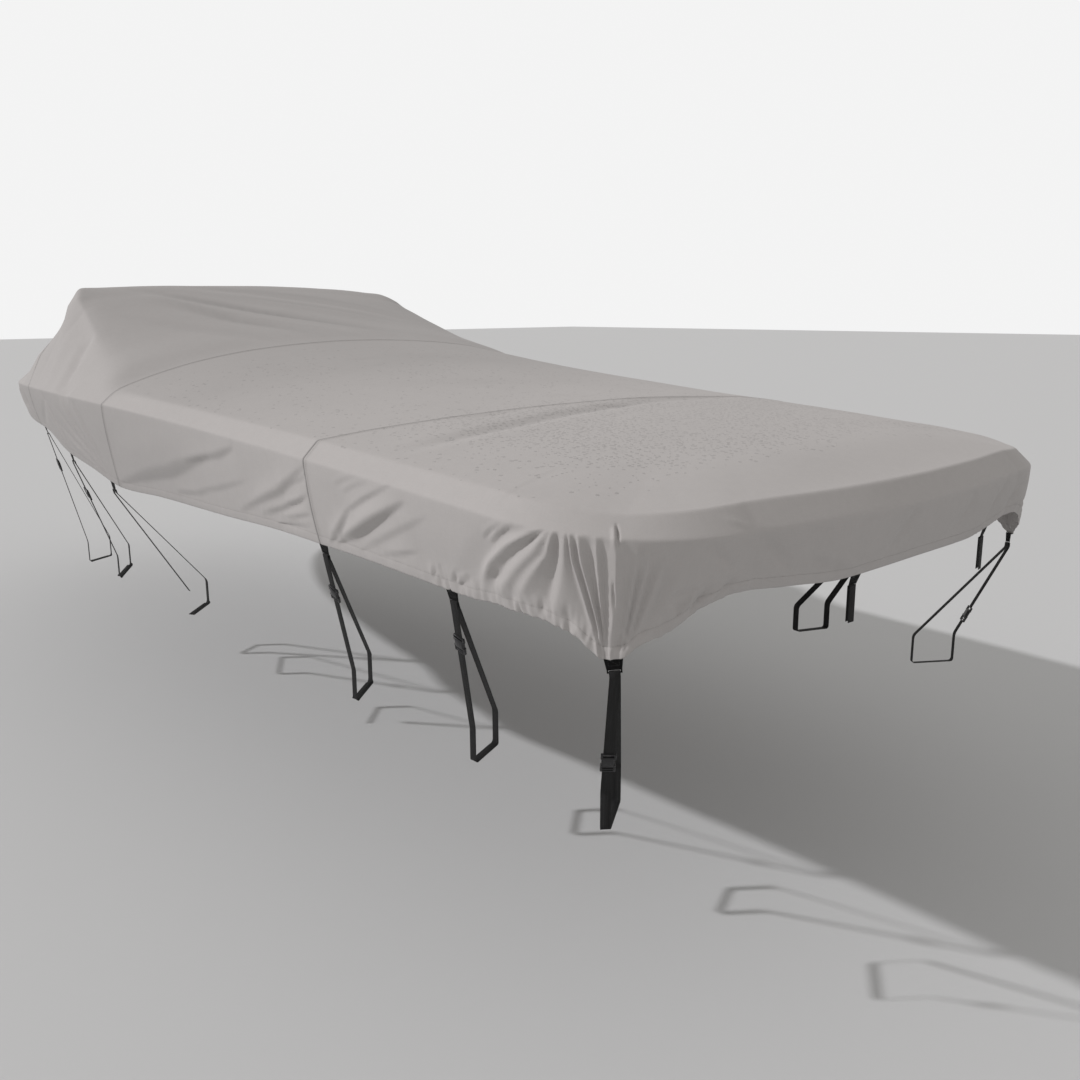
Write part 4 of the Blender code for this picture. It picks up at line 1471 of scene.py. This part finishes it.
def make_cloth_material():
    paint, tree, shader = new_paint("coated_polyester_cloth", CLOTH_ROUGHNESS, level=CLOTH_GLOSS)
    shader.inputs["Sheen Weight"].default_value = CLOTH_SHEEN[0]
    shader.inputs["Sheen Roughness"].default_value = CLOTH_SHEEN[1]
    place = tree.nodes.new("ShaderNodeTexCoord").outputs["Object"]
    weave = group_node(tree, weave_group, Flat=uv_in_metres(tree))
    weather = group_node(tree, weather_group, Place=place)
    rain = group_node(tree, rain_group, Place=place, Up=attribute(tree, "flat"))
    seams = times(tree, attribute(tree, "seam"), SEAM_PAINTED_SHADE)
    lines = plus(tree, seams, times(tree, attribute(tree, "hem"), HEM_PAINTED_SHADE))
    shade = times(tree, weave["Shade"], weather["Shade"])
    shade = times(tree, shade, rain["Shade"])
    # The grey is darkened towards the bow, by painted shade along the seams and the hem's stitch line, and
    # by painted shade along the deck's folds.
    for darker in (attribute(tree, "bow_darkening"), lines, attribute(tree, "painted_fold_shade")):
        shade = times(tree, shade, minus(tree, 1.0, darker))
    tree.links.new(vector_node(tree, "SCALE", CLOTH_GREY, shade), shader.inputs["Base Color"])
    woven = bump_node(tree, weave["Height"], WEAVE_DEPTH, WEAVE_STRENGTH)
    marked = bump_node(tree, rain["Height"], MARK_DEPTH, normal=woven)
    tree.links.new(marked, shader.inputs["Normal"])
    return paint


cloth_paint = make_cloth_material()
for panel in panels.values():
    panel.data.materials.append(cloth_paint)
print("cloth material:", len(cloth_paint.node_tree.nodes), "nodes")

# %% [markdown]
# ## Stitching
# Two rows of lockstitch hold each felled seam, and one row closes the hem's channel. A stitch
# is a small spindle of thread, 3.6 mm long, laid on the cloth. There are thousands, so each has
# only twelve faces, and a row of them is placed along the same columns as the cloth itself.

# %% Stitching
STITCH = 0.0036
STITCH_PITCH = 0.0052
STITCH_WAIST = 0.32
THREAD = 0.00042
THREAD_PROUD = 0.4
THREAD_GREY = (0.36, 0.345, 0.335)
THREAD_ROUGHNESS = 0.6
SEAM_ROWS = (0.0025, 0.0105)


def add_stitch(mesh, start, end, out):
    """A spindle with a square waist from start to end, standing a little proud of the cloth."""
    run = end - start
    if run.length < 1e-6:
        return
    run.normalize()
    middle = (start + end) / 2 + out * THREAD * THREAD_PROUD
    wide = run.cross(out).normalized() * THREAD
    high = out.normalized() * THREAD
    rings = []
    for along in (-STITCH_WAIST, STITCH_WAIST):
        centre = middle + run * STITCH * along
        rings.append([mesh.verts.new(centre + side) for side in (wide, high, -wide, -high)])
    tips = [mesh.verts.new(middle + run * STITCH * along) for along in (-0.5, 0.5)]
    for k in range(4):
        after = (k + 1) % 4
        mesh.faces.new((rings[0][k], rings[0][after], rings[1][after], rings[1][k]))
        mesh.faces.new((tips[0], rings[0][after], rings[0][k]))
        mesh.faces.new((tips[1], rings[1][k], rings[1][after]))


def sew(name, thread_paint, lines):
    """One piece of stitching: each line is a list of (point, outward direction)."""
    stitches = bmesh.new()
    for line in lines:
        for (start, out), (end, _) in zip(line, line[1:]):
            run = (end - start).normalized() * STITCH / 2
            middle = (start + end) / 2
            add_stitch(stitches, middle - run, middle + run, out)
    bmesh.ops.recalc_face_normals(stitches, faces=stitches.faces)
    return as_object(name, stitches, thread_paint)


def on_cloth(column, s):
    """A point of the drawn cloth, with the direction that the cloth faces there."""
    facing = column.facing(s)
    return column.point(s) + drawn_to_tabs(column, s), Vector((facing.x, column.side * facing.y, facing.z))


def seam_line(station, side):
    column = Column(station / CORNER_START, side)
    count = int(column.ends[2] / STITCH_PITCH)
    return [on_cloth(column, column.ends[2] * k / count) for k in range(1, count)]


def hem_line(side):
    end = CORNER_START + STERN_LENGTH
    count = int(end / STITCH_PITCH)
    return [on_cloth(Column(u_at_along(end * k / count), side), CHANNEL) for k in range(2, count)]


thread, _, _ = new_paint("grey_thread", THREAD_ROUGHNESS, THREAD_GREY)
seam_lines = [seam_line(seam + row, side) for seam in SEAMS for row in SEAM_ROWS for side in (-1.0, 1.0)]
seam_thread = sew("seam_stitching", thread, seam_lines)
hem_thread = sew("hem_stitching", thread, [hem_line(-1.0), hem_line(1.0)])
print("stitches:", len(seam_thread.data.polygons) // 12 + len(hem_thread.data.polygons) // 12)

# %% [markdown]
# ## Webbing
# The straps are black polypropylene webbing, 25 mm wide, and the tabs are 34 mm. It is woven in
# a twill that shows as fine ribs with a herringbone down the middle. Sine waves along and across
# the ribbon give both, with the ribs slanted by the distance from the middle line. Noise that
# is stretched along the webbing makes it worn in long pale lines.

# %% Webbing material
WEBBING_BLACK = (0.014, 0.014, 0.0142)
WEBBING_ROUGHNESS = 0.62
WEBBING_GLOSS = 0.25
RIB_PITCH = 0.0017
RIB_SLANT = 0.9
END_PITCH = 0.0012
RIB_SHADE = 0.16
RIB_DEPTH = 0.0003
WEAR_STRETCH = (12.0, 330.0, 1.0)
WEAR_CONTRAST, WEAR_BASE = 2.6, 0.2


def make_webbing_material():
    paint, tree, shader = new_paint("black_webbing", WEBBING_ROUGHNESS, level=WEBBING_GLOSS)
    flat = uv_in_metres(tree)
    axes = axes_of(tree, flat)
    slant = plus(tree, axes[0], times(tree, math_node(tree, "ABSOLUTE", axes[1]), RIB_SLANT))
    ribs = math_node(tree, "SINE", times(tree, slant, 2.0 * math.pi / RIB_PITCH))
    ends = math_node(tree, "SINE", times(tree, axes[1], 2.0 * math.pi / END_PITCH))
    height = plus(tree, ribs, times(tree, ends, 0.5))
    wear = noise_node(tree, scaled(tree, flat, WEAR_STRETCH), 1.0, 4.0)
    wear = minus(tree, times(tree, wear, WEAR_CONTRAST), WEAR_BASE)
    shade = plus(tree, times(tree, height, RIB_SHADE), wear)
    tree.links.new(vector_node(tree, "SCALE", WEBBING_BLACK, shade), shader.inputs["Base Color"])
    tree.links.new(bump_node(tree, height, RIB_DEPTH), shader.inputs["Normal"])
    return paint


webbing_paint = make_webbing_material()
print("webbing material:", len(webbing_paint.node_tree.nodes), "nodes")

# %% [markdown]
# A strap is a ribbon with thin rounded selvedges. Its flat profile is drawn once and extruded
# from point to point of a route, as webbing is drawn through its slots, so a strap can turn
# round a bar or a rail anywhere. Its own length and width become its UV map.

# %% Ribbons of webbing
WEBBING_WIDTH = 0.025
WEBBING = 0.0013
SELVEDGE = 0.0018
SELVEDGE_HEIGHTS = (0.15, 0.85, 1.0, 0.85, 0.15)
RAIL_ROUND = 0.012
CORNER_STEPS = 4
STRAP_STEP = 0.018


def round_route(points, radius):
    """A route with its corners taken round and its straight runs divided into short steps."""
    route = [points[0]]
    for before, corner, after in zip(points, points[1:], points[2:]):
        reach = min(radius, (corner - before).length / 2.2, (after - corner).length / 2.2)
        start = corner + (before - corner).normalized() * reach
        end = corner + (after - corner).normalized() * reach
        for k in range(CORNER_STEPS + 1):
            t = k / CORNER_STEPS
            route.append(start * (1 - t) ** 2 + corner * 2 * t * (1 - t) + end * t * t)
    route.append(points[-1])
    fine = [route[0]]
    for start, end in zip(route, route[1:]):
        count = max(1, int((end - start).length / STRAP_STEP))
        fine += [start.lerp(end, k / count) for k in range(1, count + 1)]
    return fine


def webbing_profile():
    """The cut end of the webbing: across it along X, its thickness along Y."""
    half = WEBBING_WIDTH / 2
    upper = list(zip((-half, SELVEDGE - half, 0.0, half - SELVEDGE, half), SELVEDGE_HEIGHTS))
    rounds = [(x, h) for x, h in upper] + [(x, -h) for x, h in reversed(upper)]
    return [Vector((x, WEBBING / 2 * h, 0.0)) for x, h in rounds]


def frames_along(route, across):
    """At each point of a route, the placing of the profile: X across, Z along the run."""
    frames = []
    for k, point in enumerate(route):
        run = (route[min(k + 1, len(route) - 1)] - route[max(k - 1, 0)]).normalized()
        wide = (across - run * across.dot(run)).normalized()
        axes = Matrix((wide, run.cross(wide), run)).transposed()
        frames.append(Matrix.Translation(point) @ axes.to_4x4())
    return frames


def lay_webbing(name, route, across):
    """A ribbon drawn along a route, and its length."""
    profile = webbing_profile()
    frames = frames_along(route, across)
    ribbon = bmesh.new()
    order = ribbon.verts.layers.int.new("order")
    drawn = ribbon.verts.layers.float.new("drawn")
    start = [ribbon.verts.new(frames[0] @ place) for place in profile]
    for k, vertex in enumerate(start):
        vertex[order] = k
    start_face = end_face = ribbon.faces.new(start)
    length = 0.0
    for before, after, frame_here in zip(route, route[1:], frames[1:]):
        length += (after - before).length
        made = bmesh.ops.extrude_face_region(ribbon, geom=[end_face])["geom"]
        if end_face is not start_face:
            ribbon.faces.remove(end_face)
        end_face = next(item for item in made if isinstance(item, bmesh.types.BMFace))
        for vertex in end_face.verts:
            vertex.co = frame_here @ profile[vertex[order]]
            vertex[drawn] = length
    flat_map = ribbon.loops.layers.uv.new("flat_metres")
    for face in ribbon.faces:
        for loop in face.loops:
            loop[flat_map].uv = (loop.vert[drawn], profile[loop.vert[order]].x)
    bmesh.ops.recalc_face_normals(ribbon, faces=ribbon.faces)
    return as_object(name, ribbon, webbing_paint, sharp_over=50), length


print("points round the webbing's profile:", len(webbing_profile()))

# %% [markdown]
# Each side strap starts in its buckle, climbs to its tab, turns round the tab's bar, runs down
# to the inner side of the rail, passes under it, and comes back up to the buckle. The third tie
# has no buckle, so both ends of its strap are at the rail. The rail itself is left out. The
# routes repeat those of the solid straps.

# %% Straps
TAB_BAR = 0.004
BAR_TURN = 0.0038
BAR_LEAD = 0.012
BAR_STEPS = 12
RAIL_OUTER = -0.870
RAIL_INNER = -0.745
RAIL_TOP = 0.600
RAIL_BOTTOM = 0.500
BUCKLE_LENGTH = 0.058
BUCKLE_GRIP = 0.002
STERN_TIE_END = 0.950


def bar_of(tab):
    return tab.top + tab.down * (TAB_LENGTH - TAB_BAR / 2)


def bar_turn(centre, down, out):
    angles = [math.pi * k / BAR_STEPS for k in range(BAR_STEPS + 1)]
    return [centre + out * BAR_TURN * math.cos(a) - down * BAR_TURN * math.sin(a) for a in angles]


def rail_point(station, across, height, side):
    return Vector((station, -side * across, height)) - CARRIER


def strap_route(tab, outer_station, inner_station, buckle_at):
    """The strap's route, and the buckle's middle and direction where it has one."""
    bar = bar_of(tab)
    outer_start = bar + tab.out * BAR_TURN + tab.down * BAR_LEAD
    inner_start = bar - tab.out * BAR_TURN + tab.down * BAR_LEAD
    turn = [outer_start, *bar_turn(bar, tab.down, tab.out), inner_start]
    inner = [rail_point(inner_station, RAIL_INNER, height, tab.side) for height in (RAIL_TOP, RAIL_BOTTOM)]
    outer = [rail_point(outer_station, RAIL_OUTER, height, tab.side) for height in (RAIL_BOTTOM, RAIL_TOP)]
    if not buckle_at:
        return [outer[1], *turn, *inner, outer[0]], None, None
    leg = (outer[1] - outer_start).normalized()
    middle = outer_start + leg * buckle_at
    reach = leg * (BUCKLE_LENGTH / 2 - BUCKLE_GRIP)
    return [middle - reach, *turn, *inner, *outer, middle + reach], middle, leg


straps = {}
buckle_places = {}
for prefix in ("port_", "starboard_"):
    for tie_label, _, outer_at, inner_at, buckle_at in SIDE_TIES:
        tab = TABS[prefix + tie_label]
        route, middle, leg = strap_route(tab, outer_at, inner_at, buckle_at)
        label = prefix + tie_label
        straps[label] = lay_webbing(label + "_webbing", round_route(route, RAIL_ROUND), tab.run)
        if middle is not None:
            buckle_places[label] = (middle, leg, (tab.run - leg * tab.run.dot(leg)).normalized())
for tie_label, _ in STERN_TIES:
    tab = TABS[tie_label]
    bar = bar_of(tab)
    end = Vector((bar.x, bar.y, STERN_TIE_END - CARRIER.z))
    route = [end + tab.out * BAR_TURN, *bar_turn(bar, tab.down, tab.out), end - tab.out * BAR_TURN]
    straps[tie_label] = lay_webbing(tie_label + "_webbing", round_route(route, RAIL_ROUND), tab.run)
print("straps:", len(straps), "longest", round(max(length for _, length in straps.values()), 3), "m")

# %% [markdown]
# A tab is a folded piece of webbing sewn under the hem, with a box of stitches and a slot
# above its bar. It is made flat, as a plate of eight faces round its slot, wider towards its
# root. A second layer is laid on it as the fold's other half, and it is set in its place.

# %% Tabs
TAB_THICKNESS = 0.0025
TAB_SLOT = 0.0034
TAB_SLOT_PLAY = 0.0012
TAB_FLARE = 0.28
TAB_TUCK = 0.004
TAB_EDGE = 0.0007


def flat_plate(xs, ys, keep):
    """A grid of faces between given lines, of which only some are kept."""
    plate = bmesh.new()
    grid = [[plate.verts.new((x, y, 0.0)) for x in xs] for y in ys]
    for j in range(len(ys) - 1):
        for i in range(len(xs) - 1):
            if keep(i, j):
                plate.faces.new((grid[j][i], grid[j][i + 1], grid[j + 1][i + 1], grid[j + 1][i]))
    return plate


def make_tab(name, tab):
    half = TAB_WIDTH / 2
    slot = WEBBING_WIDTH / 2 + TAB_SLOT_PLAY
    slot_top = TAB_LENGTH - TAB_BAR - TAB_SLOT
    ys = (-TAB_TUCK, slot_top, TAB_LENGTH - TAB_BAR, TAB_LENGTH)
    plate = flat_plate((-half, -slot, slot, half), ys, lambda i, j: not (i == 1 and j == 1))
    for vertex in plate.verts:
        vertex.co.x *= 1.0 + TAB_FLARE * max(0.0, 1.0 - (vertex.co.y + TAB_TUCK) / slot_top)
    # The plate has no normals yet, so the second layer comes to lie on the first.
    bmesh.ops.solidify(plate, geom=list(plate.faces), thickness=TAB_THICKNESS)
    plate.normal_update()
    edges = [edge for edge in plate.edges if edge.calc_face_angle(0.0) > 1.0]
    bmesh.ops.bevel(
        plate, geom=edges, offset=TAB_EDGE, segments=2, profile=0.5, affect="EDGES", material=-1
    )
    flat_map = plate.loops.layers.uv.new("flat_metres")
    for face in plate.faces:
        for loop in face.loops:
            loop[flat_map].uv = (loop.vert.co.y, loop.vert.co.x)
    depth = [vertex.co.z for vertex in plate.verts]
    bmesh.ops.translate(plate, verts=plate.verts, vec=(0.0, 0.0, -(min(depth) + max(depth)) / 2))
    axes = Matrix((tab.run, tab.down, tab.run.cross(tab.down))).transposed()
    bmesh.ops.transform(plate, matrix=Matrix.Translation(tab.top) @ axes.to_4x4(), verts=plate.verts)
    bmesh.ops.recalc_face_normals(plate, faces=plate.faces)
    return as_object(name, plate, webbing_paint, sharp_over=50)


tab_pieces = {name: make_tab(name + "_tab_webbing", tab) for name, tab in TABS.items()}
print("tabs:", len(tab_pieces))

# %% [markdown]
# The box of stitches is one line of thread: round the box, and once across it.

# %% Stitched boxes
BOX_MARGIN = 0.005
BOX_TOP, BOX_FOOT = 0.002, 0.016
BOX_PITCH = 0.0042
BLACK_THREAD = (0.05, 0.05, 0.052)
BLACK_THREAD_ROUGHNESS = 0.5


def box_stitch(tab):
    """The stitched box of a tab, as one line of points just over its outer side."""
    half = TAB_WIDTH / 2 - BOX_MARGIN
    start, end = (-half, BOX_TOP), (half, BOX_FOOT)
    corners = [start, (half, BOX_TOP), end, (-half, BOX_FOOT), start, end]
    line = []
    for (x0, y0), (x1, y1) in zip(corners, corners[1:]):
        count = max(1, round(math.hypot(x1 - x0, y1 - y0) / BOX_PITCH))
        for k in range(count):
            x, y = x0 + (x1 - x0) * k / count, y0 + (y1 - y0) * k / count
            place = tab.top + tab.run * x + tab.down * y + tab.out * TAB_THICKNESS / 2
            line.append((place, tab.out))
    return line


black_thread, _, _ = new_paint("black_thread", BLACK_THREAD_ROUGHNESS, BLACK_THREAD)
tab_thread = sew("tab_stitching", black_thread, [box_stitch(tab) for tab in TABS.values()])
print("stitches in the boxes:", len(tab_thread.data.polygons) // 12)

# %% [markdown]
# ## Side-release buckles
# A buckle is two mouldings: a hollow body that the plug's two springs snap into, and the plug,
# whose end is a frame with two bars for the webbing. The springs show at the body's sides. The
# parts are cubes stretched to size and bevelled, because mouldings are boxes with round edges.
# Each buckle is made closed, flat on the X-Y plane, and then set on its strap.

# %% Buckles
BUCKLE_WIDTH = 0.036
BUCKLE_THICKNESS = 0.010
MIDDLE_PARTS = [
    # middle along the buckle, length, narrower than it by, share of its thickness, rounding
    (-0.0040, 0.0260, 0.010, 1.00, 0.0022),
    (-0.0155, 0.0060, 0.000, 0.90, 0.0022),
    (0.0075, 0.0060, 0.000, 0.90, 0.0022),
    (0.0135, 0.0035, 0.004, 0.55, 0.0013),
    (0.0205, 0.0035, 0.004, 0.55, 0.0013),
    (BUCKLE_LENGTH / 2 - BUCKLE_GRIP, 0.0040, 0.004, 0.55, 0.0013),
    (BUCKLE_GRIP - BUCKLE_LENGTH / 2, 0.0040, 0.004, 0.55, 0.0013),
]
SIDE_PARTS = [
    # middle along the buckle, length, in from its side, width, share of its thickness
    (-0.0035, 0.0200, 0.0040, 0.0036, 0.62),
    (0.0180, 0.0200, 0.0026, 0.0052, 0.70),
    (-0.0230, 0.0115, 0.0026, 0.0052, 0.70),
]
SIDE_ROUNDING = 0.0016
THUMB_PLATE = (0.013, 0.010, 0.0009)
THUMB_PLATE_ROUNDING = 0.0004
PLASTIC_BLACK = (0.008, 0.008, 0.009)
PLASTIC_ROUGHNESS = 0.28


def rounded_box(mesh, centre, size, radius, segments=3):
    """A box with every edge rounded, added to a mesh."""
    fresh = bmesh.ops.create_cube(mesh, size=1.0, matrix=Matrix.Diagonal((*size, 1.0)))["verts"]
    bmesh.ops.translate(mesh, verts=fresh, vec=centre)
    mesh.normal_update()
    edges = list({edge for vertex in fresh for edge in vertex.link_edges})
    bmesh.ops.bevel(
        mesh, geom=edges, offset=radius, segments=segments, profile=0.5, affect="EDGES", material=-1
    )


def buckle_mesh():
    """Body, plug, springs and bars of a closed buckle, its webbing along X."""
    mesh = bmesh.new()
    for along, long, narrower, share, rounding in MIDDLE_PARTS:
        size = (long, BUCKLE_WIDTH - narrower, BUCKLE_THICKNESS * share)
        rounded_box(mesh, (along, 0.0, 0.0), size, rounding)
    for along, long, inwards, wide, share in SIDE_PARTS:
        for side in (-1.0, 1.0):
            centre = (along, side * (BUCKLE_WIDTH / 2 - inwards), 0.0)
            rounded_box(mesh, centre, (long, wide, BUCKLE_THICKNESS * share), SIDE_ROUNDING)
    rounded_box(mesh, (-0.004, 0.0, BUCKLE_THICKNESS / 2), THUMB_PLATE, THUMB_PLATE_ROUNDING, 1)
    return mesh


plastic, _, _ = new_paint("black_acetal", PLASTIC_ROUGHNESS, PLASTIC_BLACK)
buckles = {}
for name, (middle, leg, wide) in buckle_places.items():
    moulding = buckle_mesh()
    if leg.cross(wide).dot(TABS[name].out) < 0.0:
        wide = -wide
    axes = Matrix((leg, wide, leg.cross(wide))).transposed()
    bmesh.ops.transform(moulding, matrix=Matrix.Translation(middle) @ axes.to_4x4(), verts=moulding.verts)
    bmesh.ops.recalc_face_normals(moulding, faces=moulding.faces)
    buckles[name] = as_object(name + "_buckle_plastic", moulding, plastic, sharp_over=40)
print("buckles:", len(buckles))

# %% [markdown]
# ## Setting the pieces in place
# Each new piece moves with the cover, and each solid that a new piece stands for is hidden.

# %% Pieces in place of the solids
for name, panel in panels.items():
    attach(panel, "root")
    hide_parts(name)
for name, (strap, length) in straps.items():
    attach(strap, "root")
    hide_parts(name + "_strap")
for name, tab_piece in tab_pieces.items():
    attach(tab_piece, "root")
    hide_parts(name + "_tab")
for name, buckle in buckles.items():
    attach(buckle, "root")
    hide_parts(name + "_buckle")
for stitching in (seam_thread, hem_thread, tab_thread):
    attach(stitching, "root")
